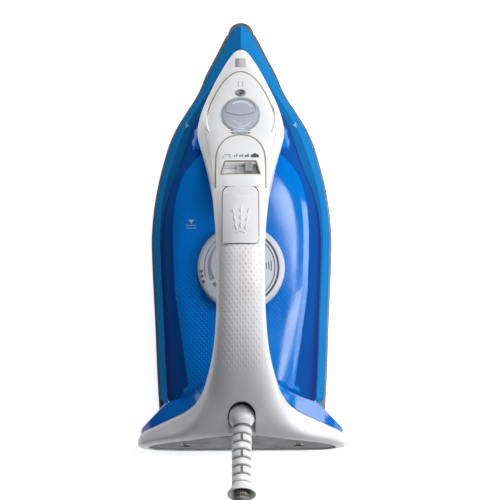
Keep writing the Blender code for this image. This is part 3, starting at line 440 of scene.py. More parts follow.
def rounded_rows(knots, per=5):
    """(y, half-width) rows along a smooth curve through the knots."""
    reach = [0.0]
    for before, after in zip(knots, knots[1:]):
        reach.append(reach[-1] + math.hypot(after[0] - before[0], after[1] - before[1]))
    ys = smooth_through(reach, [k[0] for k in knots])
    halves = smooth_through(reach, [k[1] for k in knots])
    total = (len(knots) - 1) * per
    return [(ys(reach[-1] * k / total), halves(reach[-1] * k / total)) for k in range(total + 1)]


def skin(name, rows, above, below, mat, columns=36, lift=None, **more):
    """A curved panel that follows the housing's surface over rows of (y, half-width)."""
    rings = []
    for y, half in rows:
        half = max(half, 0.15)
        across = [half * (2 * k / columns - 1) for k in range(columns + 1)]
        top = []
        bottom = []
        for x in across:
            height = surface_z(x, y)
            extra = lift(x, y) if lift else 0.0
            top.append((x, y, height + above + extra))
            bottom.append((x, y, height + below))
        rings.append(top + bottom[::-1])
    return loft(name, rings, mat, **more)


def grown(rows, by):
    middle = (rows[0][0] + rows[-1][0]) / 2
    length = abs(rows[0][0] - rows[-1][0]) / 2
    width = max(half for _, half in rows)
    return [(middle + (y - middle) * (length + by) / length, half * (width + by) / width) for y, half in rows]


# ---------------------------------------------------------------- materials


class Nodes:
    """A material's node tree with short calls for the nodes used here."""

    def __init__(self, name):
        self.mat = bpy.data.materials.new(name)
        self.mat.use_nodes = True
        self.tree = self.mat.node_tree
        self.shader = self.tree.nodes["Principled BSDF"]
        self.place = self.tree.nodes.new("ShaderNodeTexCoord").outputs["Object"]

    def link(self, source, socket):
        self.tree.links.new(source, socket)

    def value(self, operation, *inputs):
        node = self.tree.nodes.new("ShaderNodeMath")
        node.operation = operation
        for socket, given in zip(node.inputs, inputs):
            if isinstance(given, (int, float)):
                socket.default_value = given
            else:
                self.link(given, socket)
        return node.outputs[0]

    def times(self, first, second):
        return self.value("MULTIPLY", first, second)

    def shade(self, socket, given):
        """Sets an input of the shader, or links it to another node's output."""
        if isinstance(given, bpy.types.NodeSocket):
            self.link(given, self.shader.inputs[socket])
        else:
            self.shader.inputs[socket].default_value = given

    def colour_so_far(self):
        return self.shader.inputs["Base Color"].links[0].from_socket

    def axes(self, vector=None):
        node = self.tree.nodes.new("ShaderNodeSeparateXYZ")
        self.link(vector or self.place, node.inputs[0])
        return node.outputs

    def noise(self, scale, detail=3.0, rough=0.5, stretch=None):
        node = self.tree.nodes.new("ShaderNodeTexNoise")
        node.inputs["Scale"].default_value = scale
        node.inputs["Detail"].default_value = detail
        node.inputs["Roughness"].default_value = rough
        source = self.place
        if stretch:
            mapping = self.tree.nodes.new("ShaderNodeMapping")
            mapping.inputs["Scale"].default_value = stretch
            self.link(self.place, mapping.inputs["Vector"])
            source = mapping.outputs[0]
        self.link(source, node.inputs["Vector"])
        return node.outputs["Fac"]

    def span(self, source, low, high, to_low, to_high):
        node = self.tree.nodes.new("ShaderNodeMapRange")
        node.interpolation_type = "SMOOTHSTEP"
        for socket, given in zip(list(node.inputs)[1:5], (low, high, to_low, to_high)):
            socket.default_value = given
        self.link(source, node.inputs[0])
        return node.outputs[0]

    def blend(self, factor, first, second):
        node = self.tree.nodes.new("ShaderNodeMix")
        node.data_type = "RGBA"
        self.link(factor, node.inputs["Factor"])
        for socket, given in ((node.inputs[6], first), (node.inputs[7], second)):
            if isinstance(given, tuple):
                socket.default_value = (*given, 1.0)
            else:
                self.link(given, socket)
        return node.outputs[2]

    def bump(self, height, strength, distance, normal=None):
        node = self.tree.nodes.new("ShaderNodeBump")
        node.inputs["Strength"].default_value = strength
        node.inputs["Distance"].default_value = distance
        self.link(height, node.inputs["Height"])
        if normal is not None:
            self.link(normal, node.inputs["Normal"])
        return node.outputs[0]

    def dots(self, across, along):
        """1 on rhombic dots of a staggered pattern with these pitches in metres, 0 between them."""
        x, y, _ = self.axes()
        u, v = self.value("DIVIDE", x, across), self.value("DIVIDE", y, along)
        ends = []
        for operation in ("ADD", "SUBTRACT"):
            cell = self.value("FRACT", self.value("ADD", self.value(operation, u, v), 100.0))
            ends.append(self.value("ABSOLUTE", self.value("SUBTRACT", cell, 0.5)))
        return self.span(self.value("MAXIMUM", *ends), 0.2, 0.34, 1.0, 0.0)

    def window(self, source, low, high, soft):
        """1 between low and high, fading to 0 over the soft distance outside them."""
        rise = self.span(source, low - soft, low, 0.0, 1.0)
        fall = self.span(source, high, high + soft, 1.0, 0.0)
        return self.times(rise, fall)


def plastic(name, colour, second=None, roughness=0.35, spread=0.06, grain=0.04, coat=0.0, metallic=0.0,
            transmission=0.0):
    """Moulded plastic: faint mottling, fine grain and uneven gloss."""
    n = Nodes(name)
    mottle = n.noise(24.0, 4.0)
    second = second or tuple(c * 0.94 for c in colour)
    n.shade("Base Color", n.blend(n.span(mottle, 0.35, 0.65, 0.0, 1.0), colour, second))
    gloss = n.noise(90.0, 5.0, 0.6)
    n.shade("Roughness", n.span(gloss, 0.3, 0.7, roughness - spread, roughness + spread))
    if grain:
        n.shade("Normal", n.bump(n.noise(1400.0, 2.0), grain, 0.0002))
    n.shade("Metallic", metallic)
    n.shade("Transmission Weight", transmission)
    n.shade("Coat Weight", coat)
    n.shade("Coat Roughness", 0.06)
    return n


def housing_material():
    """White satin plastic; the grip carries rows of low rhombic dots that fade towards the heel."""
    n = plastic("white_satin", (0.79, 0.79, 0.81), (0.74, 0.74, 0.765), 0.36, 0.05, 0.0)
    x, y, z = n.axes()
    grip = n.times(n.window(y, -0.112, -0.0275, 0.006), n.span(z, 0.112, 0.12, 0.0, 1.0))
    sides = n.span(n.value("ABSOLUTE", x), 0.011, 0.0135, 1.0, 0.0)
    dots = n.dots(0.0031, 0.0044)
    height = n.times(dots, n.times(grip, sides))
    plain = n.colour_so_far()
    # Brown tint on the grip dots: faint over the whole grip, stronger in a patch just behind the button on
    # the right.
    dot_tint_patch = n.times(n.window(y, -0.050, -0.030, 0.014), n.window(x, 0.001, 0.006, 0.003))
    dot_tint_share = n.value("ADD", n.times(dot_tint_patch, 0.38), 0.09)
    amount = n.times(dots, n.times(dot_tint_share, grip))
    n.shade("Base Color", n.blend(n.times(amount, sides), plain, (0.50, 0.36, 0.22)))
    fine = n.bump(n.noise(1500.0, 2.0), 0.05, 0.0002)
    n.shade("Normal", n.bump(height, 0.4, 0.0002, fine))
    return n.mat


def tank_material():
    """Translucent blue: painted shade down the flanks, a faint painted glow, fine dots on the shoulders
    behind the dial.
    """
    n = Nodes("tank_blue")
    x, y, z = n.axes()
    # Painted shade: the wall's blue darkens and turns more violet towards the foot.
    depth = n.span(z, 0.030, 0.068, 0.0, 1.0)
    shaded_wall = n.blend(depth, (0.010, 0.050, 0.34), (0.0, 0.140, 0.52))
    cloud = n.span(n.noise(14.0, 3.0), 0.35, 0.7, 0.0, 0.55)
    body = n.blend(cloud, shaded_wall, (0.0, 0.180, 0.58))
    n.shade("Base Color", body)
    n.shade("Roughness", n.span(n.noise(60.0, 4.0), 0.3, 0.7, 0.09, 0.15))
    shoulder = n.window(n.value("ABSOLUTE", x), 0.022, 0.040, 0.006)
    area = n.times(n.window(y, -0.098, -0.045, 0.02), shoulder)
    height = n.times(n.dots(0.0029, 0.0031), area)
    n.shade("Normal", n.bump(height, 0.5, 0.00022))
    n.shade("Specular IOR Level", 0.45)
    n.shade("IOR", 1.5)
    # Painted light: the tank glows faintly in its own blue, as if lit through.
    n.shade("Emission Color", body)
    n.shade("Emission Strength", 0.16)
    return n.mat


def shaded_tank_flank_material():
    """The tank's flanks: a darker copy of the blue as painted shade, more violet towards the foot."""
    n = plastic("shaded_tank_flank", (0.012, 0.030, 0.16), (0.016, 0.028, 0.14), 0.3, 0.06, 0.0)
    mottle = n.colour_so_far()
    # Painted shade: lighter higher up the flank, darkest at its foot.
    height = n.span(n.axes()[2], 0.034, 0.066, 0.0, 1.0)
    n.shade("Base Color", n.blend(height, mottle, (0.006, 0.075, 0.33)))
    n.shade("Specular IOR Level", 0.0)
    return n.mat


def skirt_material():
    n = plastic("skirt_blue", (0.010, 0.165, 0.44), (0.012, 0.18, 0.47), 0.4, 0.05, 0.05)
    n.shade("Specular IOR Level", 0.0)
    return n.mat


def metal(name, colour, roughness, stretch=(1, 40, 1), metallic=1.0):
    """Metal with fine lines along its length and uneven gloss."""
    n = Nodes(name)
    lines = n.noise(160.0, 4.0, 0.6, stretch)
    dark = tuple(c * 0.8 for c in colour)
    n.shade("Base Color", n.blend(n.span(lines, 0.3, 0.7, 0.0, 1.0), dark, colour))
    n.shade("Roughness", n.span(lines, 0.3, 0.7, roughness * 0.8, roughness * 1.25))
    n.shade("Normal", n.bump(lines, 0.06, 0.0001))
    n.shade("Metallic", metallic)
    return n.mat


def slider_material():
    """Silver-painted plastic with painted shade: bright on the left, dark grey on the right."""
    n = plastic("slider_silver", (0.66, 0.66, 0.67), (0.60, 0.60, 0.61), 0.32, 0.05, 0.05)
    unshaded_silver = n.colour_so_far()
    # Painted shade: the silver darkens from left to right across the piece.
    across = n.span(n.axes()[0], -0.006, 0.008, 0.0, 1.0)
    n.shade("Base Color", n.blend(across, unshaded_silver, (0.24, 0.24, 0.245)))
    return n.mat


def braid_material():
    """Textile braid: light strands crossing dark ones, laid out on the cord's own length and girth."""
    n = Nodes("braid")
    girth, length, _ = n.axes(n.tree.nodes["Texture Coordinate"].outputs["UV"])
    strands = []
    for operation in ("ADD", "SUBTRACT"):
        slope = n.value(operation, n.times(length, 190.0), n.times(girth, 8.0))
        wave = n.value("FRACT", n.value("ADD", slope, 400.0))
        strands.append(n.value("ABSOLUTE", n.value("SUBTRACT", wave, 0.5)))
    weave = n.times(n.value("MAXIMUM", *strands), 2.0)
    light = n.value("GREATER_THAN", n.value("ABSOLUTE", n.value("SUBTRACT", strands[0], strands[1])), 0.27)
    colour = n.blend(light, (0.13, 0.105, 0.085), (0.55, 0.53, 0.50))
    dirt = n.span(n.noise(300.0), 0.3, 0.8, 0.0, 0.5)
    n.shade("Base Color", n.blend(dirt, colour, (0.08, 0.07, 0.06)))
    n.shade("Roughness", n.span(n.noise(500.0), 0.3, 0.7, 0.75, 0.95))
    n.shade("Normal", n.bump(weave, 0.7, 0.0004))
    n.shade("Sheen Weight", 0.3)
    return n.mat


WHITE = housing_material()
PLAIN_WHITE = plastic("white_plain", (0.80, 0.80, 0.82), (0.75, 0.75, 0.77), 0.36).mat
PEARL = plastic("pearl", (0.84, 0.845, 0.86), (0.80, 0.80, 0.82), 0.22, 0.05, 0.03, coat=0.35).mat
# Painted shade: the button's white is a little darker than the housing's, darkening its top and raised drops.
SHADED_KEY_WHITE = plastic("key_white_shaded", (0.72, 0.72, 0.75), (0.68, 0.68, 0.71), 0.42, 0.06, 0.06).mat
GREY = plastic("grey_matt", (0.115, 0.115, 0.122), (0.09, 0.09, 0.097), 0.5, 0.08, 0.1).mat
# Painted shade: a pale grey for the nose block's top and the stripes ahead of the nozzle.
PALE_SHADE_GREY = plastic("pale_shade_grey", (0.50, 0.50, 0.51), (0.44, 0.44, 0.45), 0.4, 0.06, 0.06).mat
# The nozzle's own grey, also used as painted shade on the nose block's left side.
MID_GREY = plastic("nozzle_grey_and_shade", (0.30, 0.30, 0.305), (0.25, 0.25, 0.255), 0.38, 0.06, 0.06).mat
# Painted shade: a tan colour for lines laid in the gaps between panels.
GAP_SHADE = plastic("gap_shade_tan", (0.23, 0.19, 0.13), (0.33, 0.29, 0.22), 0.6, 0.08, 0.1).mat
SLOT_SHADE = plastic("slot_shade", (0.25, 0.235, 0.21), (0.19, 0.175, 0.16), 0.8, 0.08, 0.1).mat
INK = plastic("print_grey", (0.06, 0.065, 0.075), (0.09, 0.09, 0.10), 0.6, 0.05, 0.0).mat
PALE_INK = plastic("print_pale", (0.40, 0.53, 0.72), (0.34, 0.47, 0.66), 0.55, 0.05, 0.0).mat
WEDGE = plastic("print_wedge", (0.24, 0.245, 0.26), (0.29, 0.295, 0.31), 0.6, 0.05, 0.0).mat
SOFT_INK = plastic("print_soft", (0.20, 0.22, 0.24), (0.25, 0.26, 0.28), 0.6, 0.05, 0.0).mat
DIAL = plastic("dial_lavender", (0.62, 0.63, 0.69), (0.57, 0.58, 0.65), 0.38, 0.06, 0.05).mat
SLIDER = slider_material()
CAP = plastic("cap_clear", (0.60, 0.645, 0.72), (0.50, 0.55, 0.64), 0.14, 0.04, 0.03, coat=0.4,
              transmission=0.2).mat
CAP_SHINE = plastic("cap_shine", (0.80, 0.84, 0.90), None, 0.15, 0.05, 0.03, coat=0.4).mat
CAP_GROOVE_SHADE = plastic("cap_groove_shade", (0.17, 0.19, 0.22), (0.22, 0.24, 0.27), 0.25, 0.05, 0.03, coat=0.4).mat
BLACK = plastic("black_moulded", (0.016, 0.016, 0.018), (0.022, 0.022, 0.024), 0.45, 0.08, 0.12).mat
RUBBER = plastic("seal_rubber", (0.32, 0.06, 0.035), (0.26, 0.05, 0.03), 0.7, 0.08, 0.1).mat
CLEAR_HOSE = plastic("hose_clear", (0.62, 0.66, 0.70), None, 0.3, 0.05, 0.03, transmission=0.5).mat
SKIRT = skirt_material()
TANK = tank_material()
SHADED_TANK_FLANK = shaded_tank_flank_material()
SOLE = metal("sole_coat", (0.22, 0.22, 0.23), 0.34, (1, 30, 1), 0.85)
CAST = metal("cast", (0.50, 0.51, 0.53), 0.5, (1, 1, 1))
STEEL = metal("steel", (0.58, 0.58, 0.60), 0.28)
BRASS = metal("brass", (0.66, 0.49, 0.22), 0.26, (1, 1, 30))
BRAID = braid_material()

# The colour slot that each material falls under, unless a piece names another.
SLOT_MATERIALS = (
    ("white_plastic", (WHITE, PLAIN_WHITE, SHADED_KEY_WHITE, SLOT_SHADE)),
    ("pearl_plastic", (PEARL,)),
    ("grey_plastic", (GREY, PALE_SHADE_GREY, MID_GREY, GAP_SHADE, INK)),
    ("dial_grey", (DIAL, WEDGE)),
    ("silver_plastic", (SLIDER,)),
    ("clear_plastic", (CAP, CAP_SHINE, CAP_GROOVE_SHADE)),
    ("black_plastic", (BLACK,)),
    ("blue_plastic", (SKIRT,)),
    ("tank_blue", (TANK,)),
    ("sole_metal", (SOLE,)),
    ("steel", (STEEL,)),
    ("brass", (BRASS,)),
)
SLOT_OF = {mat.name: slot for slot, mats in SLOT_MATERIALS for mat in mats}


# ---------------------------------------------------------------- white housing


def housing_rings(step=2.2):
    total = int(way[-1] / step)
    return [station_ring(station(way[-1] * k / total)) for k in range(total + 1)]


# Outlines of the two panels from the front backwards: y, half-width.
FASCIA = [
    (95.9, 0.0), (95.3, 2.6), (93.9, 5.2), (91.3, 8.3), (87.6, 11.2), (82.0, 14.4), (75.0, 17.4),
    (67.5, 19.9), (60.0, 21.4), (53.0, 21.6), (46.0, 20.6), (38.0, 18.9), (30.0, 17.7), (22.0, 16.9),
    (14.0, 16.0), (10.5, 15.3),
]
CONTROL = [
    (48.1, 0.0), (47.7, 3.4), (46.2, 7.2), (43.4, 10.4), (39.6, 12.8), (34.6, 14.3), (29.0, 14.8),
    (20.0, 14.9), (10.6, 14.7),
]
BUTTON_FRONT, BUTTON_REAR, BUTTON_HALF = 11.3, -25.7, 10.4
CAP_Y, CAP_LENGTH, CAP_WIDTH = 63.4, 12.8, 11.8
MOUTH_Y, MOUTH_WIDE, MOUTH_LONG = 63.0, 9.8, 7.35
CAP_HINGE = (0.0, 50.2, 84.67)
PUMP_Y = 9.5
NOZZLE_Y = 79.6
SLIDER_Y = 24.2


def button_half(y, spare=0.0):
    """Half-width of the button, with round corners: large ones in front, small ones behind."""
    half = BUTTON_HALF + spare
    front, rear = BUTTON_FRONT + spare, BUTTON_REAR - spare
    big, small = 6.2, 2.4
    if y > front - big:
        return half - big * (1 - math.sqrt(max(0.0, 1 - ((y - front + big) / big) ** 2)))
    if y < rear + small:
        return half - small * (1 - math.sqrt(max(0.0, 1 - ((rear + small - y) / small) ** 2)))
    return half


def button_top(x, y):
    """The button's face: arched across, sloping off in front, a little lower behind its front part."""
    front = min(1.0, max(0.0, (y - 4.6) / 7.0))
    arch = 2.4 * (x / BUTTON_HALF) ** 2
    return surface_z(0, y) + 1.4 - arch - 1.9 * front**1.4 - 0.35 * ease(3.9 - y)


def button_rings(spare, above, bottom, depth, columns=24):
    rings = []
    front, rear = BUTTON_FRONT + spare, BUTTON_REAR - spare
    for k in range(61):
        y = rear + (front - rear) * (0.5 - 0.5 * math.cos(math.pi * k / 60))
        half = max(0.2, button_half(y, spare))
        across = [half * (2 * i / columns - 1) for i in range(columns + 1)]
        top = [(x, y, button_top(x, y) + above) for x in across]
        floor_z = max(bottom, button_top(0, y) - depth)
        rings.append(top + [(x, y, floor_z) for x in reversed(across)])
    return rings


def slider_room(top):
    return placed_block("room", (-12.9, -6.2, -6.2), (12.9, 5.2, top), None)


def hinge_room():
    """The slot behind the cap that leaves room for its knuckle."""
    return turned("slot", [(2.0, -5.6), (2.0, 5.6)], None, CAP_HINGE, (1, 0, 0), 32)


def filler_mouth():
    """The oval opening under the cap, down through the fascia, the housing and the tank."""
    rings = [[(x, y, z) for x, y in oval(0.0, MOUTH_Y, MOUTH_WIDE, MOUTH_LONG, 48)] for z in (46.0, 96.0)]
    return loft("mouth", rings, None)


def nozzle_bore(radius, depth):
    mouth = Vector((0, NOZZLE_Y, surface_z(0, NOZZLE_Y)))
    return turned("bore", [(radius, depth), (radius, 6.0)], None, mouth, surface_normal(0, NOZZLE_Y), 48)


def make_housing():
    shell = loft("housing_shell", housing_rings(), WHITE, stands_for=("handle_housing", "handle_underside"))
    fascia_seat = skin("fascia_seat", grown(rounded_rows(FASCIA), 0.22), 6.0, -1.5, None)
    button_room = loft("button_room", button_rings(0.42, 8.0, 112.0, 30.0), None)
    notch = []
    for z in (66.0, 130.0):
        half = 8.4
        arc = [(half * math.cos(a), BALL_CENTRE.y + 0.5 + half * math.sin(a), z)
               for a in (math.pi * k / 24 for k in range(25))]
        notch.append([(half, -160.0, z)] + arc + [(-half, -160.0, z)])
    guard_slot = loft("guard_slot", notch, None)
    plate_seat = rear_plate("plate_seat", 0.35, -4.0, 2.6, None)
    apply_cut(shell, [fascia_seat, button_room, guard_slot, plate_seat, slider_room(2.0), filler_mouth(),
                      nozzle_bore(2.6, -14.0), hinge_room()])
    soften(shell, 0.35, 2, 50)


REAR_PLATE = [(40.0, 25.5), (54.0, 28.5), (58.0, 34.0), (56.0, 41.0), (48.0, 48.0), (38.0, 53.5),
              (27.0, 58.0), (16.0, 61.5), (9.0, 63.0)]
rear_lean = smooth_through([22.0, 63.5], [-141.0, -133.6])


def rear_plate(name, by, near, far, mat, **more):
    across = smooth_through(range(len(REAR_PLATE)), [x for x, _ in REAR_PLATE])
    upward = smooth_through(range(len(REAR_PLATE)), [z for _, z in REAR_PLATE])
    rings = []
    for depth in (near, far):
        right = []
        for k in range(41):
            at = (len(REAR_PLATE) - 1) * k / 40
            tall = upward(at) + (-by if upward(at) < 30 else by)
            right.append((across(at) + by, rear_lean(tall) + depth, tall))
        rings.append(right + [(-x, y, z) for x, y, z in reversed(right)])
    return loft(name, rings, mat, **more)


def make_rear_cover():
    cover = rear_plate("rear_plate", 0.0, 0.4, 2.3, GREY, stands_for=("rear_cover",))
    screw_x, screw_z = 35.0, 38.0
    face_y = rear_lean(screw_z)
    hole = [(4.2, 0.0), (4.2, 1.6), (2.1, 1.8), (2.1, 8.0)]
    seats = [(side * screw_x, face_y - 1.4, screw_z) for side in (-1, 1)]
    apply_cut(cover, [turned("screw_hole", hole, None, seat, (0, 1, 0), 40) for seat in seats])
    soften(cover, 0.4, 3, 50)
    screw = [(0.001, 0.9), (1.0, 0.9), (1.3, 0.3), (3.0, 0.2), (3.3, 0.5), (3.3, 1.4), (1.7, 1.5), (1.7, 6.0)]
    for side, name in SIDES:
        seat = (side * screw_x, face_y + 0.3, screw_z)
        head = turned(f"screw_head_{name}", screw, STEEL, seat, (0, 1, 0), 40,
                      stands_for=(f"rear_screw_{name}",))
        head.data.shade_smooth()


# ---------------------------------------------------------------- fascia, control panel and cap


def cap_rows(by=0.0, steps=40):
    length, width = CAP_LENGTH + by, CAP_WIDTH + by
    rows = []
    for k in range(steps + 1):
        angle = math.pi * (k + 0.06) / (steps + 0.12)
        rows.append((CAP_Y + length * math.cos(angle), width * math.sin(angle)))
    return rows


def cap_dome(x, y):
    """The cap's bulge: a shallow dome over the whole oval."""
    reach = ((x / CAP_WIDTH) ** 2 + ((y - CAP_Y) / CAP_LENGTH) ** 2) ** 0.5
    return 1.1 * max(0.0, 1 - reach**2.6)


def ribbon(name, path, width, profile, height_at, mat, closed=False, **more):
    """A thin line along (x, y) points; its profile holds (share of the half-width, rise) pairs."""
    rings = []
    last = len(path) - 1
    for k, (x, y) in enumerate(path):
        before = path[k - 1 if closed else max(0, k - 1)]
        after = path[(k + 1) % len(path) if closed else min(last, k + 1)]
        run = Vector((after[0] - before[0], after[1] - before[1], 0)).normalized()
        side = Vector((-run.y, run.x, 0)) * width / 2
        ring = []
        for across, up in profile:
            px, py = x + side.x * across, y + side.y * across
            ring.append((px, py, height_at(px, py) + up))
        rings.append(ring)
    count = len(profile)
    faces = loft_faces(len(rings), count, not closed)
    if closed:
        for k in range(count):
            faces.append((last * count + k, last * count + (k + 1) % count, (k + 1) % count, k))
    return piece(name, [p for ring in rings for p in ring], faces, mat, sharp=60, **more)


def panel_line(name, path, width, above, mat, dome=None, **more):
    """A ribbon that follows the housing's surface, or a dome over it."""
    shoulder = above * 0.6
    profile = ((1, -0.3), (1, shoulder), (0.4, above), (-0.4, above), (-1, shoulder), (-1, -0.3))

    def height(x, y):
        return surface_z(x, y) + (dome(x, y) if dome else 0.0)

    ribbon(name, path, width, profile, height, mat, **more)


def level_line(name, path, width, z, above, mat, **more):
    """A ribbon at one height."""
    profile = ((1, -0.4), (1, above), (-1, above), (-1, -0.4))
    ribbon(name, path, width, profile, lambda x, y: z, mat, **more)


def make_fascia():
    fascia = skin("fascia_face", rounded_rows(FASCIA), 0.0, -1.3, PEARL, 44, stands_for=("fascia_panel",))
    panel_seat = skin("panel_seat", grown(rounded_rows(CONTROL, 6), 0.22), 6.0, -1.0, None)
    cap_seat = skin("cap_seat", cap_rows(0.3), 6.0, -1.0, None)
    apply_cut(fascia, [panel_seat, cap_seat, nozzle_bore(3.3, -6.0), filler_mouth(), slider_room(2.0),
                       hinge_room()])
    soften(fascia, 0.22, 2, 50)


def make_control():
    panel = skin("control_face", rounded_rows(CONTROL, 6), 0.0, -0.95, PEARL, 44,
                 stands_for=("control_panel",))
    opening = ((-9.2, 28.9), (9.2, 28.9), (11.7, 19.5), (-11.7, 19.5))
    window = [[(x, y, surface_z(0, y) + z) for x, y in opening] for z in (-4.0, 4.0)]
    apply_cut(panel, [loft("window", window, None)])
    soften(panel, 0.22, 2, 50)
    frame_line = [(-9.3, 29.0), (9.3, 29.0), (11.8, 19.4), (-11.8, 19.4)]
    path = []
    for k, (x, y) in enumerate(frame_line):
        following = frame_line[(k + 1) % 4]
        for i in range(10):
            path.append((x + (following[0] - x) * i / 10, y + (following[1] - y) * i / 10))
    # Painted shade: a tan line in the gap round the slider window.
    panel_line("window_rim", path, 0.8, 0.1, GAP_SHADE, closed=True)


def seam_lines():
    """Painted shade: tan lines laid in the gaps round the fascia and the control panel."""
    for name, knots in (("fascia_seam", FASCIA), ("panel_seam", CONTROL)):
        rows = rounded_rows(knots, 6)
        right = [(half, y) for y, half in grown(rows, 0.12) if knots is CONTROL or y > 55.0]
        path = [(-x, y) for x, y in right[::-1]] + right[1:]
        panel_line(name, path, 0.95, 0.02, GAP_SHADE)
    for side, name in SIDES:
        sill = [(side * (10.9 + 0.42 * k), 10.42) for k in range(11)]
        panel_line(f"fascia_sill_{name}", sill, 0.9, 0.0, PEARL)


def slider_frame():
    out = surface_normal(0, SLIDER_Y)
    along = Vector((0, -out.z, out.y)).normalized()
    centre = Vector((0, SLIDER_Y, surface_z(0, SLIDER_Y)))
    return centre, Matrix((Vector((1, 0, 0)), -along, out)).transposed()


def placed_block(name, low, high, mat, bevel=0.0, **more):
    centre, turn_in = slider_frame()
    points = [centre + turn_in @ Vector((x, y, z)) for z in (low[2], high[2]) for y in (low[1], high[1])
              for x in (low[0], high[0])]
    faces = [(0, 1, 3, 2), (4, 5, 7, 6), (0, 1, 5, 4), (2, 3, 7, 6), (0, 2, 6, 4), (1, 3, 7, 5)]
    block = piece(name, points, faces, mat, **more)
    if bevel:
        soften(block, bevel, 3, 40)
    return block


def make_slider():
    placed_block("slider_plate", (-2.4, -4.6, -4.1), (10.4, 4.3, -2.8), SLIDER, 0.3, body="steam_slide",
                 stands_for=("steam_slider",))
    placed_block("slider_ridge", (2.6, -4.5, -3.2), (7.0, 4.2, 0.9), SLIDER, 0.6, body="steam_slide")
    placed_block("slider_track", (-11.6, -4.6, -5.9), (11.6, 4.3, -4.4), SLIDER, 0.2,
                 stands_for=("slider_guide",))


def make_cap():
    lid = skin("cap_lid", cap_rows(), 0.5, -0.8, CAP, 40, lift=cap_dome, body="filler_lid",
               stands_for=("filler_cap",))
    soften(lid, 0.35, 3, 40)
    knuckle = [(0.001, -4.4), (1.5, -4.4), (1.5, 4.4), (0.001, 4.4)]
    turned("cap_knuckle", knuckle, CAP, CAP_HINGE, (1, 0, 0), 32, body="filler_lid")
    upper = bow(0.0, 66.2, 9.4, 8.6, 180, 0, 32)
    lower = [(9.2 * share, 62.6 + 2.6 * share * share) for share in (k / 12 - 1 for k in range(25))]
    on_lid = dict(dome=cap_dome, body="filler_lid")
    # Painted shade: dark lines on the lid for its grooves, and a dark ring near its edge.
    for name, path in (("cap_arc_upper", upper), ("cap_arc_lower", lower)):
        panel_line(name, path, 0.75, 0.75, CAP_GROOVE_SHADE, **on_lid)
    panel_line("cap_rim", oval(0.0, CAP_Y, 11.0, 12.0, 72), 0.5, 0.62, CAP_GROOVE_SHADE, closed=True, **on_lid)
    # Painted highlights: pale brow and ripple lines on the lid.
    panel_line("cap_brow", bow(0.0, 65.6, 7.4, 7.2, 28, 132, 13), 0.9, 0.68, CAP_SHINE, **on_lid)
    for k in range(3):
        reach = 5.2 + 2.0 * k
        start = 205 + 50 * (k % 2)
        ripple = bow(0.0, 60.8, reach, 0.9 * reach, start, start + 78, 13)
        panel_line(f"cap_ripple_{k}", ripple, 0.55, 0.68, CAP_SHINE, **on_lid)


def make_nozzle():
    normal = surface_normal(0, NOZZLE_Y)
    mouth = Vector((0, NOZZLE_Y, surface_z(0, NOZZLE_Y)))
    profile = [(0.0001, -2.4), (1.0, -2.4), (1.2, -0.6), (2.0, -0.5), (2.2, 0.5), (2.7, 0.8), (3.05, 0.4),
               (3.1, -3.0), (2.2, -5.0), (0.0001, -5.0)]
    turned("nozzle_tip", profile, MID_GREY, mouth, normal, 56, stands_for=("spray_nozzle",))


def patches(name, loops, height_at, above, below, mat, **more):
    """Flat printed shapes: each loop of (x, y) points becomes a thin slab on the surface below it."""
    points, faces = [], []
    for loop in loops:
        base, count = len(points), len(loop)
        for lift in (above, -below):
            points += [(x, y, height_at(x, y) + lift) for x, y in loop]
        faces.append(tuple(range(base, base + count)))
        faces.append(tuple(range(base + 2 * count - 1, base + count - 1, -1)))
        for k in range(count):
            n = (k + 1) % count
            faces.append((base + k, base + n, base + count + n, base + count + k))
    return piece(name, points, faces, mat, **more)


def bar(x0, x1, y, thick):
    return [(x0, y - thick / 2), (x1, y - thick / 2), (x1, y + thick / 2), (x0, y + thick / 2)]


def make_panel_marks():
    """Generic steam symbols: three lines, three puffs of growing size and a cloud."""
    y = 32.6
    loops = [bar(-11.0 + 0.6 * k, -5.6 - 0.3 * k, y - 1.1 + 1.0 * k, 0.45) for k in range(3)]
    for x, size in ((-3.0, 0.8), (0.4, 0.95), (3.8, 1.1)):
        loops.append(oval(x - 0.7, y - 0.2, size * 0.5, size * 0.95))
        loops.append(oval(x + 0.65, y + 0.25, size * 0.5, size * 1.2))
    for dx, dy, r in ((7.0, -0.1, 1.0), (8.6, 0.4, 1.35), (10.1, 0.0, 1.0)):
        loops.append(oval(dx, y + dy, r * 0.95, r * 1.25))
    patches("panel_symbols", loops, surface_z, 0.07, 0.15, INK)


def make_nose_block():
    """The nose block in painted shade, dark grey on its left and pale grey on top; two shade stripes ahead of
    the nozzle.
    """
    blocks = (("nose_block_shaded_side", -3.4, -1.2, MID_GREY), ("nose_block_shaded_top", -1.1, 3.3, PALE_SHADE_GREY))
    for name, low, high, mat in blocks:
        rings = []
        for k in range(9):
            y = 106.4 - 7.0 * k / 8
            across = [low + (high - low) * i / 6 for i in range(7)]
            top = [(x, y, surface_z(x, y) + 0.28) for x in across]
            rings.append(top + [(x, y, surface_z(x, y) - 0.8) for x in reversed(across)])
        soften(loft(name, rings, mat, slot="white_plastic"), 0.15, 2, 40)
    # Painted shade: two pale grey stripes for a shallow groove ahead of the nozzle.
    for name, x in (("groove_shade_left", -1.5), ("groove_shade_right", 1.1)):
        panel_line(name, [(x, 84.4 + 4.0 * k / 6) for k in range(7)], 0.8, 0.03, PALE_SHADE_GREY)


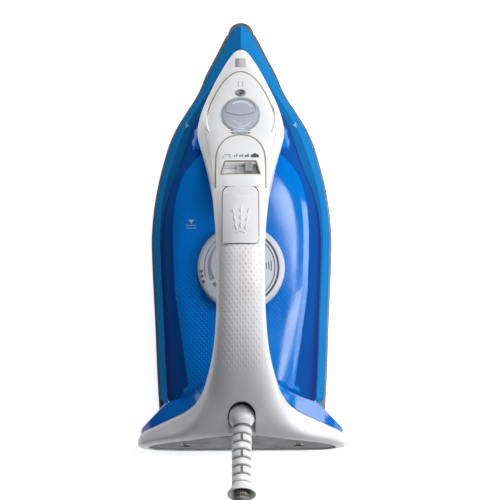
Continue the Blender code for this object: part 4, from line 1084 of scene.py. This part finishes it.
def make_lenses():
    """The bright lens-shaped inlays on both sides of the fascia."""
    for side, name in SIDES:
        rings = []
        for k in range(25):
            share = k / 24
            y = 71.5 - 21.0 * share
            wide = 0.15 + 1.35 * math.sin(math.pi * share) ** 0.8
            middle = 20.2 + 2.6 * math.sin(math.pi * share) - 1.1 * share
            ring = []
            for i in range(9):
                a = math.pi * i / 8
                x = middle + wide * math.cos(a)
                ring.append((side * x, y, surface_z(x, y) + 0.05 + 0.95 * math.sin(a)))
            ring.append((side * (middle - wide * 0.8), y, surface_z(middle, y) - 0.8))
            ring.append((side * (middle + wide * 0.8), y, surface_z(middle, y) - 0.8))
            rings.append(ring)
        loft(f"fascia_inlay_{name}", rings, PEARL, sharp=60)


def make_button():
    key = loft("spray_key_cap", button_rings(0.0, 0.0, 117.6, 4.6), SHADED_KEY_WHITE, body="spray_key",
               stands_for=("spray_button",))
    soften(key, 0.5, 3, 40)
    for column, lean in ((-1, 0.22), (0, 0.0), (1, -0.22)):
        for row in range(3):
            x = column * (4.3 - 0.75 * row) + 0.2
            y = -5.4 - row * 4.7 - 1.0 * abs(column)
            drop(f"drop_{column + 1}_{row}", x, y, 2.2, 0.8, lean)
    rings = []
    for k in range(15):
        a = math.pi * (0.12 + 0.76 * k / 14)
        x, y = 2.6 * math.cos(a), -20.6 + 1.8 * math.sin(a)
        rings.append([(x + 0.35 * math.cos(b) * math.cos(a), y + 0.35 * math.cos(b) * math.sin(a),
                       button_top(x, y) + 0.3 * math.sin(b)) for b in turns(8)])
    loft("spray_arc", rings, SHADED_KEY_WHITE, body="spray_key", sharp=80)


def make_spring():
    """The pump's return spring, at one fixed length."""
    low, high, radius, wire, coils = 106.8, 115.8, 3.0, 0.4, 4
    rings = []
    for k in range(coils * 24 + 1):
        a = 2 * math.pi * k / 24
        z = low + (high - low) * k / (coils * 24)
        reach = [(radius + wire * math.cos(b), z + wire * math.sin(b)) for b in turns(10)]
        rings.append([(r * math.cos(a), PUMP_Y + r * math.sin(a), height) for r, height in reach])
    spring = loft("pump_coil", rings, STEEL, sharp=80, stands_for=("pump_spring",))
    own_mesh(spring)


def drop(name, x, y, length, wide, lean):
    rings = []
    for k in range(11):
        share = k / 10
        radius = max(0.02, wide * math.sin(math.pi * share) ** 0.7 * (1.15 - 0.5 * share))
        along = length * (share - 0.5) * 2
        px, py = x - along * math.sin(lean), y + along * math.cos(lean)
        rings.append([(px + radius * math.cos(b), py, button_top(px, py) + radius * 0.75 * math.sin(b))
                      for b in turns(10)])
    loft(name, rings, SHADED_KEY_WHITE, body="spray_key", sharp=80)


# ---------------------------------------------------------------- blue skirt, tank and sole


def housing_seat(name, gap, stations):
    rings = [station_ring(station(way_at_y(-y)), -gap, 72, 30.0) for y in stations]
    return loft(name, rings, None)


CREASE_PROFILE = ((0.45, -0.9), (0.3, -0.05), (0.0, 0.12), (-0.3, -0.05), (-0.45, -0.9))


def make_skirt():
    foot = SOLE_THICKNESS + 0.4
    levels = [foot, foot + 0.6, 6.0, 9.0, 13.0, 17.0, 21.0, 24.5, 27.0, SKIRT_TOP_Z]
    rings = [body_ring(0.0, z, lean=skirt_lean(z)) for z in levels]
    skirt = loft("skirt_shell", rings, SKIRT, stands_for=("skirt",))
    prow = [body_ring(0.06, z, rear=91.5, lean=skirt_lean(z)) for z in (24.0, 30.0, 36.0, 42.0, 48.0)]
    apply_cut(skirt, [loft("prow", prow, None)], "UNION")
    room = [body_ring(2.2, z, 2.2, lean=skirt_lean(z)) for z in (1.0, 14.0, SKIRT_TOP_Z - 2.2)]
    ys = [114.4 - 3.2 * k for k in range(33)]
    apply_cut(skirt, [loft("skirt_room", room, None), housing_seat("skirt_seat", 0.3, ys)])
    soften(skirt, 0.5, 3, 40)
    crease = []
    for k in range(22):
        share = k / 21
        z = foot + 1.2 + (33.5 - foot) * share
        front = front_of(lambda y: body_half(y, 0.0, skirt_lean(z)))
        y = front + 0.05
        crease.append([(x, y + back, z) for x, back in CREASE_PROFILE])
    loft("skirt_nose_line", crease, SKIRT, sharp=80)


def sole_half(y):
    share = min(1.0, max(0.0, (y - SOLE_NOSE_START) / SOLE_NOSE_RUN))
    wide = plan_half(min(y - SOLE_NOSE_SHIFT * share, PLAN[-1][0])) + SOLE_PROUD
    if y < SOLE_TIP_Y:
        return wide
    return min(wide, math.sqrt(max(0.0, SOLE_TIP_RADIUS**2 - (y - SOLE_TIP_Y) ** 2)))


def make_sole():
    rings = []
    top = SOLE_THICKNESS
    for z, inset in ((0.0, 1.1), (0.25, 0.55), (0.8, 0.1), (1.4, 0.0), (top - 0.4, 0.0), (top, 0.4)):
        rear = BODY_REAR_Y - 0.6 + inset
        rings.append(outline(lambda y: max(0.0, sole_half(y) - inset), rear, 141.0 - inset, z, 90))
    plate = loft("sole_plate", rings, SOLE, stands_for=("soleplate",))
    holes = [(side * (plan_half(y) - 27.0), y) for y in range(-80, 81, 20) for side in (-1, 1)]
    holes += [(0.0, 88.0), (0.0, 72.0), (0.0, 56.0)]
    bores = [turned("steam_bore", [(2.6, -0.5), (1.7, 0.8), (1.7, 5.0)], None, (x, y, 0), sides=28)
             for x, y in holes]
    apply_cut(plate, bores)


# How far the tank's foot stands in from the sole's edge: y, distance.
TANK_INSET = [
    (-113.5, 6.0), (-40.0, 6.4), (8.0, 7.4), (24.0, 9.4), (40.0, 12.4), (60.0, 13.2), (92.0, 13.2),
]
tank_inset = smooth_through(*zip(*TANK_INSET))

# The lean of the tank's flanks fades towards the nose and grows towards the rear.
TANK_FADE_END, TANK_FADE_RUN = 78.0, 30.0
TANK_REAR_START, TANK_REAR_RUN, TANK_REAR_GAIN = -45.0, 67.0, 0.8
MOST_TANK_LEAN = 36.0
TANK_TIP_RUN, TANK_TIP_POWER = 30.0, 2.2


def tank_half(y, lean, front):
    fade = min(1.0, max(0.0, (TANK_FADE_END - y) / TANK_FADE_RUN))
    more = 1.0 + TANK_REAR_GAIN * min(1.0, max(0.0, (TANK_REAR_START - y) / TANK_REAR_RUN))
    wide = plan_half(y) - tank_inset(y) - min(MOST_TANK_LEAN, lean * more) * fade
    start = front - TANK_TIP_RUN
    if y <= start:
        return wide
    share = (y - start) / (front - start)
    return max(0.0, wide * math.sqrt(max(0.0, 1 - share**TANK_TIP_POWER)))


def tank_ring(z, lean, front, rear):
    return outline(lambda y: tank_half(y, lean, front), rear, front, z, 110)


FLANGE = [(-140.2, 29.5, -125.4, 29.5, 63.6, 0.67, 8.0, 2.1)] + HOUSING[-3:-11:-1]


def flange_ring(row, columns=48):
    """The tank's flange fills the space between the tank's rear wall and the heel's front face."""
    top, low = Vector((0, row[0], row[1])), Vector((0, row[2], row[3]))
    rise = (top - low).normalized()
    belly = row[5] * (top - low).length
    rear, front = [], []
    for k in range(columns + 1):
        x = (row[4] - 1.5) * math.sin(math.pi * (k / columns - 0.5))
        depth = belly * (1 - (1 - abs(x / row[4]) ** row[7]) ** (1 / row[7])) - 0.6
        back_point = low + rise * depth + Vector((x, 0, 0))
        ahead = back_point - rise * 3.0
        reach = -104.0 - 8.4 * ease((abs(x) - 24.0) / 20.0) - 1.12 * max(0.0, abs(x) - 47.5)
        ahead.y = max(ahead.y, reach)
        rear.append(back_point)
        front.append(ahead)
    return rear + front[::-1]


def make_tank():
    zs = [level[0] for level in TANK_LEVELS]
    columns = [smooth_through(zs, [level[c] for level in TANK_LEVELS]) for c in (1, 2, 3)]
    heights = [28.3, 32, 36, 40, 44, 48, 52, 55, 58, 60.5, 63, 64.5, 65.7, 66.6, 67.3, 67.9, 68.4, 68.8, 69.2,
               69.5, 69.7, 69.85, 70.0, 70.1, 70.2, 70.3, 70.37, 70.43, 70.5]
    rings = [tank_ring(z, *(column(z) for column in columns)) for z in heights]
    shell = loft("tank_wall", rings, TANK, stands_for=("tank_shell",))
    ys = [96.0 - 3.4 * k for k in range(26)]
    room = [(x * 0.93, y * 0.975 - 1.0, z) for x, y, z in tank_ring(28.0, 0.4, 86.0, -111.0)]
    rooms = [[(x, y, z) for x, y, _ in room] for z in (20.0, 44.0)]
    hollow = loft("tank_room", rooms, None)
    apply_cut(shell, [hollow, housing_seat("tank_seat", 0.3, ys), filler_mouth()])
    flange = loft("flange", [flange_ring(row) for row in FLANGE], None)
    apply_cut(shell, [flange], "UNION")
    # Painted shade: the flank faces take the darker copy of the tank's blue.
    shell.data.materials.append(SHADED_TANK_FLANK)
    for face in shell.data.polygons:
        x, y, z = face.center
        flank = z < 0.0673 if y < 0.045 else abs(face.normal.z) < 0.62
        rear_edge = -0.1035 if abs(x) < 0.0355 else -0.1115
        face.material_index = int(flank and y > rear_edge and face.normal.y > -0.6)
    soften(shell, 0.6, 3, 40)


def make_tank_marks():
    """Faint rings moulded round the dial, on the flat part of the tank's roof."""
    for k, radius in enumerate((30.2, 33.4, 36.6, 39.8)):
        ring = [p for p in bow(0.0, DIAL_Y, radius, radius, 120, 420, 96) if abs(p[0]) < RING_REACH]
        level_line(f"tank_ring_{k}", ring, 0.22, TANK_TOP_Z - 0.35, 0.12, TANK)


def side_marks():
    """Generic pale marks: an arrow on each side of the skirt and the fill line on the tank's left."""
    arrow = ((35.6, 64.6), (33.2, 66.6), (34.2, 67.2), (35.2, 68.4))
    arrows = [[(side * x, y) for x, y in arrow] for side in (-1, 1)]
    patches("skirt_arrows", arrows, lambda x, y: SKIRT_TOP_Z, 0.12, 0.28, PALE_INK, slot="blue_plastic")
    lines = [bar(-33.6, -27.4, -4.9, 0.35), bar(-33.6, -27.4, -6.6, 0.35)]
    lines.append([(-32.3, -1.4), (-30.5, -3.9), (-28.7, -1.4)])
    patches("fill_mark", lines, lambda x, y: TANK_TOP_Z - 0.26, 0.12, 0.3, PALE_INK, slot="tank_blue")


# ---------------------------------------------------------------- dial


def make_dial():
    low, top, outer = 1.2, 7.0, DIAL_RADIUS
    profile = [(0.001, low), (outer - 0.8, low), (outer, low + 0.8), (outer, top - 1.5),
               (outer - 0.35, top - 0.75), (outer - 1.1, top - 0.25), (outer - 2.4, top),
               (outer - 6.2, top), (outer - 6.5, top - 0.22), (outer - 6.8, top), (0.001, top)]
    turned("dial_face", profile, DIAL, (0, DIAL_Y, 70.0), sides=144, body="dial",
           stands_for=("temperature_dial",))
    points, faces = [], []
    for a in turns(90):
        base = len(points)
        for z in (72.2, 75.0):
            for spread, out in ((-0.007, -0.3), (0.0, 0.28), (0.007, -0.3)):
                reach = outer + out
                points.append((reach * math.cos(a + spread), DIAL_Y + reach * math.sin(a + spread), z))
        for corners in ((0, 1, 4, 3), (1, 2, 5, 4), (0, 3, 5, 2), (0, 2, 1), (3, 4, 5)):
            faces.append(tuple(base + i for i in corners))
    piece("dial_grip_ribs", points, faces, DIAL, body="dial")
    face_z = 77.0

    def arc(name, radius, start, end, width, mat):
        steps = max(6, int(abs(end - start) / 4))
        path = bow(0.0, DIAL_Y, radius, radius, start, end, steps)
        level_line(name, path, width, face_z, 0.05, mat, body="dial", slot="dial_grey")

    arc("dial_arc_right", 22.6, -62, 62, 1.25, INK)
    arc("dial_arc_right_fine", 20.6, -58, 58, 0.55, INK)
    arc("dial_arc_left_fine", 22.3, 112, 196, 0.4, INK)
    rings = []
    for k in range(25):
        share = k / 24
        a = math.radians(124 + 79 * share)
        ring = []
        for radius, z in ((20.4, -0.3), (20.4, 0.05), (20.1 - 2.7 * share, 0.05), (20.1 - 2.7 * share, -0.3)):
            ring.append((radius * math.cos(a), DIAL_Y + radius * math.sin(a), face_z + z))
        rings.append(ring)
    loft("dial_wedge", rings, WEDGE, body="dial", sharp=60)
    for k in range(3):
        arc(f"dial_waves_{k}", 15.4 + 1.5 * k, -3 - 2 * k, 9 + 2 * k, 0.5, INK)
    arc("dial_pointer", 19.0, 209, 217, 2.2, SOFT_INK)
    dots = []
    for angle in (185.5, 192.5, 200.5):
        a = math.radians(angle)
        dots.append(oval(24.3 * math.cos(a), DIAL_Y + 24.3 * math.sin(a), 0.95, 0.95, 14))
    patches("dial_dots", dots, lambda x, y: face_z, 0.06, 0.2, INK, body="dial", slot="dial_grey")


# ---------------------------------------------------------------- guard, ball, cord tie and plug

GUARD_LINE = Vector((0, -math.cos(GUARD_RISE), math.sin(GUARD_RISE)))


def guard_point(along, around, radius):
    spin = Vector((0, 0, 1)).rotation_difference(GUARD_LINE).to_matrix()
    return BALL_CENTRE + spin @ Vector((radius * math.cos(around), radius * math.sin(around), along))


def make_guard():
    """Rubber guard: a core, staggered half-rings with slots between them, and a flared end."""
    core = [(4.8, 7.2), (4.8, 47.0), (4.1, 47.0), (4.1, 7.2), (4.8, 7.2)]
    turned("guard_core", core, SLOT_SHADE, BALL_CENTRE, GUARD_LINE, 56, body="cord_swivel",
           stands_for=("cord_guard",))
    bell = [(4.9, 45.9), (5.6, 45.9), (5.95, 46.6), (6.3, 48.0), (7.1, 49.4), (8.1, 50.4), (8.5, 51.2),
            (8.4, 52.0), (7.4, 52.0), (5.2, 49.6), (4.9, 47.4), (4.9, 45.9)]
    turned("guard_bell", bell, PLAIN_WHITE, BALL_CENTRE, GUARD_LINE, 56, body="cord_swivel")
    for k in range(7):
        start = 8.9 + 5.4 * k
        lead = 0.5 * math.pi * (k % 2)
        for half in (0, 1):
            rings = []
            for i in range(21):
                a = lead + math.pi * half + math.radians(8) + math.radians(164) * i / 20
                rings.append([guard_point(start + z, a, r) for z, r in
                              ((0.0, 4.6), (0.0, 5.5), (0.45, 5.95), (3.65, 5.95), (4.1, 5.5), (4.1, 4.6))])
            loft(f"guard_rib_{k}_{half}", rings, PLAIN_WHITE, body="cord_swivel", sharp=40)
    ball = []
    for k in range(26):
        a = math.pi * (0.05 + 0.75 * k / 25)
        ball.append((7.8 * math.sin(a), -7.8 * math.cos(a)))
    ball = [(0.001, ball[0][1])] + ball + [(5.6, 6.8), (0.001, 6.8)]
    turned("swivel_ball", ball, PLAIN_WHITE, BALL_CENTRE, GUARD_LINE, 64, body="cord_swivel",
           stands_for=("cord_ball",))


def make_tie_and_plug():
    x, y = COIL_CENTRE
    near, far, low, high = x + 25.5, x + 50.5, 0.9, 21.0
    outer_loop, inner_loop = [], []
    centre = Vector(((near + far) / 2, 0, (low + high) / 2))
    half_w, half_h = (far - near) / 2, (high - low) / 2
    n = 48
    for a in turns(n):
        c, s = math.cos(a), math.sin(a)
        u = math.copysign(abs(c) ** 0.42, c)
        v = math.copysign(abs(s) ** 0.42, s)
        outer_loop.append((centre.x + u * (half_w + 0.5), centre.z + v * (half_h + 0.3)))
        inner_loop.append((centre.x + u * (half_w - 0.8), centre.z + v * (half_h - 0.9)))
    points, faces = [], []
    for loop in (outer_loop, inner_loop):
        for dy in (-6.0, 6.0):
            points += [(px, y + dy, pz) for px, pz in loop]
    for k in range(n):
        m = (k + 1) % n
        faces += [(k, m, n + m, n + k), (2 * n + k, 2 * n + m, 3 * n + m, 3 * n + k),
                  (k, m, 2 * n + m, 2 * n + k), (n + k, n + m, 3 * n + m, 3 * n + k)]
    tie = piece("tie_band", points, faces, BLACK, stands_for=("cord_tie",))
    soften(tie, 0.25, 2, 50)

    back = Vector((-61.0, -273.3, 18.8))
    line = Vector((0, -1, 0))
    relief = [(4.3, 0.0)]
    for k in range(5):
        at, more = 0.6 + 3.1 * k, 0.15 * k
        relief += [(5.3 + more, at), (5.3 + more, at + 1.8), (4.7 + more, at + 2.1), (4.7 + more, at + 2.8)]
    grip = [(6.4, 17.0), (9.0, 17.6), (12.0, 19.0), (13.0, 21.0), (13.2, 24.0), (12.6, 31.0), (12.4, 38.0),
            (14.6, 40.2), (17.4, 41.0), (18.4, 42.5), (18.4, 54.0), (17.8, 54.7), (17.0, 55.0), (0.001, 55.0)]
    plug = turned("plug_shell", [(0.001, 0.0)] + relief + grip, BLACK, back, line, 80,
                  stands_for=("plug_body",))
    recess = [(0.001, 54.0), (3.0, 54.0), (3.0, 58.0), (0.001, 58.0)]
    apply_cut(plug, [turned("plug_recess", recess, None, back, line, 32)])
    parts = [tie, plug]
    pin = [(0.001, -4.0), (2.4, -4.0), (2.4, 16.6), (2.1, 17.8), (1.3, 18.7), (0.001, 19.0)]
    for side, name in SIDES:
        start = back + Vector((side * 9.5, -55.3, 0))
        parts.append(turned(f"pin_{name}", pin, BRASS, start, line, 40, stands_for=(f"plug_pin_{name}",)))
    for side, name in SIDES:
        clip = []
        for k in range(7):
            along = 43.2 + 10.2 * k / 6
            clip.append([back + Vector((side * (18.0 + dx), -along, dz)) for dx, dz in
                         ((-1.2, -3.0), (0.35, -2.6), (0.35, 2.6), (-1.2, 3.0))])
        parts.append(loft(f"plug_clip_{name}", clip, BRASS))
    return parts


# ---------------------------------------------------------------- cord


def spiral(start_angle, end_angle, start_radius, end_radius, start_z, end_z, steps):
    x, y = COIL_CENTRE
    points = []
    for k in range(1, steps + 1):
        share = k / steps
        a = math.radians(start_angle + (end_angle - start_angle) * share)
        r = start_radius + (end_radius - start_radius) * share
        rise = start_z + (end_z - start_z) * share
        points.append((x + r * math.cos(a), y + r * math.sin(a), rise))
    return points


def spline_points(points, step):
    """Evenly spaced points on a Catmull-Rom curve."""
    knots = [Vector(p) for p in points]
    dense = []
    for k in range(len(knots) - 1):
        before, a, b = knots[max(0, k - 1)], knots[k], knots[k + 1]
        after = knots[min(len(knots) - 1, k + 2)]
        for i in range(24):
            s = i / 24
            dense.append(0.5 * (2 * a + (b - before) * s + (2 * before - 5 * a + 4 * b - after) * s * s
                                + (3 * a - before - 3 * b + after) * s**3))
    dense.append(knots[-1])
    reach = [0.0]
    for before, after in zip(dense, dense[1:]):
        reach.append(reach[-1] + (after - before).length)
    total = reach[-1]
    count = int(total / step)
    marks = np.array([total * k / count for k in range(count + 1)])
    grid = np.array([tuple(p) for p in dense])
    even = [np.interp(marks, reach, grid[:, c]) for c in range(3)]
    return [Vector(p) for p in zip(*even)], total


def cord_route():
    """From the guard's mouth over the top of the coil, down through its three layers and out to the plug."""
    points = list(CORD_ROUTE)
    points += spiral(183, 395, 45.0, 45.2, 23.6, 16.6, 12)
    points += spiral(395, 1510, 45.2, 31.6, 16.4, 10.8, 66)
    points += spiral(1510, 2500, 31.6, 45.4, 9.9, 3.8, 60)
    points += spiral(2500, 2577, 45.4, 53.2, 3.8, 3.8, 8)
    return points + TAIL_ROUTE


def make_cord():
    line, length = spline_points(cord_route(), 1.5)
    sides = 20
    mesh = bpy.data.meshes.new("cord_braid")
    shell = bmesh.new()
    uv = shell.loops.layers.uv.new("cord")
    up = Vector((1, 0, 0))
    rings = []
    for k, centre in enumerate(line):
        run = (line[min(len(line) - 1, k + 1)] - line[max(0, k - 1)]).normalized()
        up = (up - run * up.dot(run)).normalized()
        side = run.cross(up)
        rings.append([shell.verts.new((centre + (up * math.cos(a) + side * math.sin(a)) * CORD_RADIUS) * MM)
                      for a in turns(sides)])
    step = length / (len(line) - 1) * MM
    for k in range(len(rings) - 1):
        for i in range(sides):
            j = (i + 1) % sides
            face = shell.faces.new((rings[k][i], rings[k][j], rings[k + 1][j], rings[k + 1][i]))
            face.smooth = True
            for loop, (u, v) in zip(face.loops, ((i, k), (i + 1, k), (i + 1, k + 1), (i, k + 1))):
                loop[uv].uv = (u / sides, v * step)
    shell.faces.new(rings[0])
    shell.faces.new(rings[-1][::-1])
    bmesh.ops.recalc_face_normals(shell, faces=shell.faces)
    shell.to_mesh(mesh)
    shell.free()
    mesh.materials.append(BRAID)
    cord = bpy.data.objects.new("mains_cord_braid", mesh)
    bpy.context.scene.collection.objects.link(cord)
    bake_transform(cord)
    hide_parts("mains_cord", "cord_coil", "mains_cord_tail")
    return cord, [tuple(p * MM) for p in line[::6]] + [tuple(line[-1] * MM)], length * MM


# ---------------------------------------------------------------- assembly

make_housing()
make_rear_cover()
make_fascia()
make_control()
seam_lines()
make_slider()
make_cap()
make_nozzle()
make_panel_marks()
make_nose_block()
make_lenses()
make_button()
make_spring()
make_skirt()
make_sole()
make_tank()
make_tank_marks()
side_marks()
make_dial()
make_guard()
on_cord = make_tie_and_plug()
cord, cord_path, cord_length = make_cord()
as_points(cord_path)

INNER = {
    "chamber_cover": STEEL, "chamber_gasket": RUBBER, "heater_casting": CAST, "heating_element": STEEL,
    "thermostat": STEEL, "thermostat_bush": BRASS, "thermal_fuse": STEEL, "heat_shield": STEEL,
    "tank_base": TANK, "tank_seal": RUBBER, "shaft_tube": TANK, "dial_shaft": BRASS,
    "filler_neck": PLAIN_WHITE, "filler_seal": RUBBER, "cap_hinge_pin": STEEL,
    "steam_valve_rod": STEEL, "valve_body": BRASS,
    "pump_body": BLACK, "pump_piston": PLAIN_WHITE, "suction_hose": CLEAR_HOSE,
    "spray_hose": CLEAR_HOSE, "swivel_socket": GREY, "cord_clamp": GREY, "inner_lead": BLACK,
    "terminal_block": PLAIN_WHITE,
}
for name, mat in INNER.items():
    node = NODES[name]
    node.data.materials.clear()
    node.data.materials.append(mat)

bpy.ops.mesh.primitive_plane_add(size=0.8, location=(0, 0, -0.0003))
floor = bpy.context.object
floor.name = "floor"
paper = Nodes("paper_floor")
mottle = paper.span(paper.noise(30.0), 0.3, 0.7, 0.0, 1.0)
paper.shade("Base Color", paper.blend(mottle, (0.90, 0.90, 0.90), (0.93, 0.93, 0.93)))
paper.shade("Roughness", 0.8)
paper.shade("Emission Color", (1, 1, 1, 1))
paper.shade("Emission Strength", 0.72)
floor.data.materials.append(paper.mat)
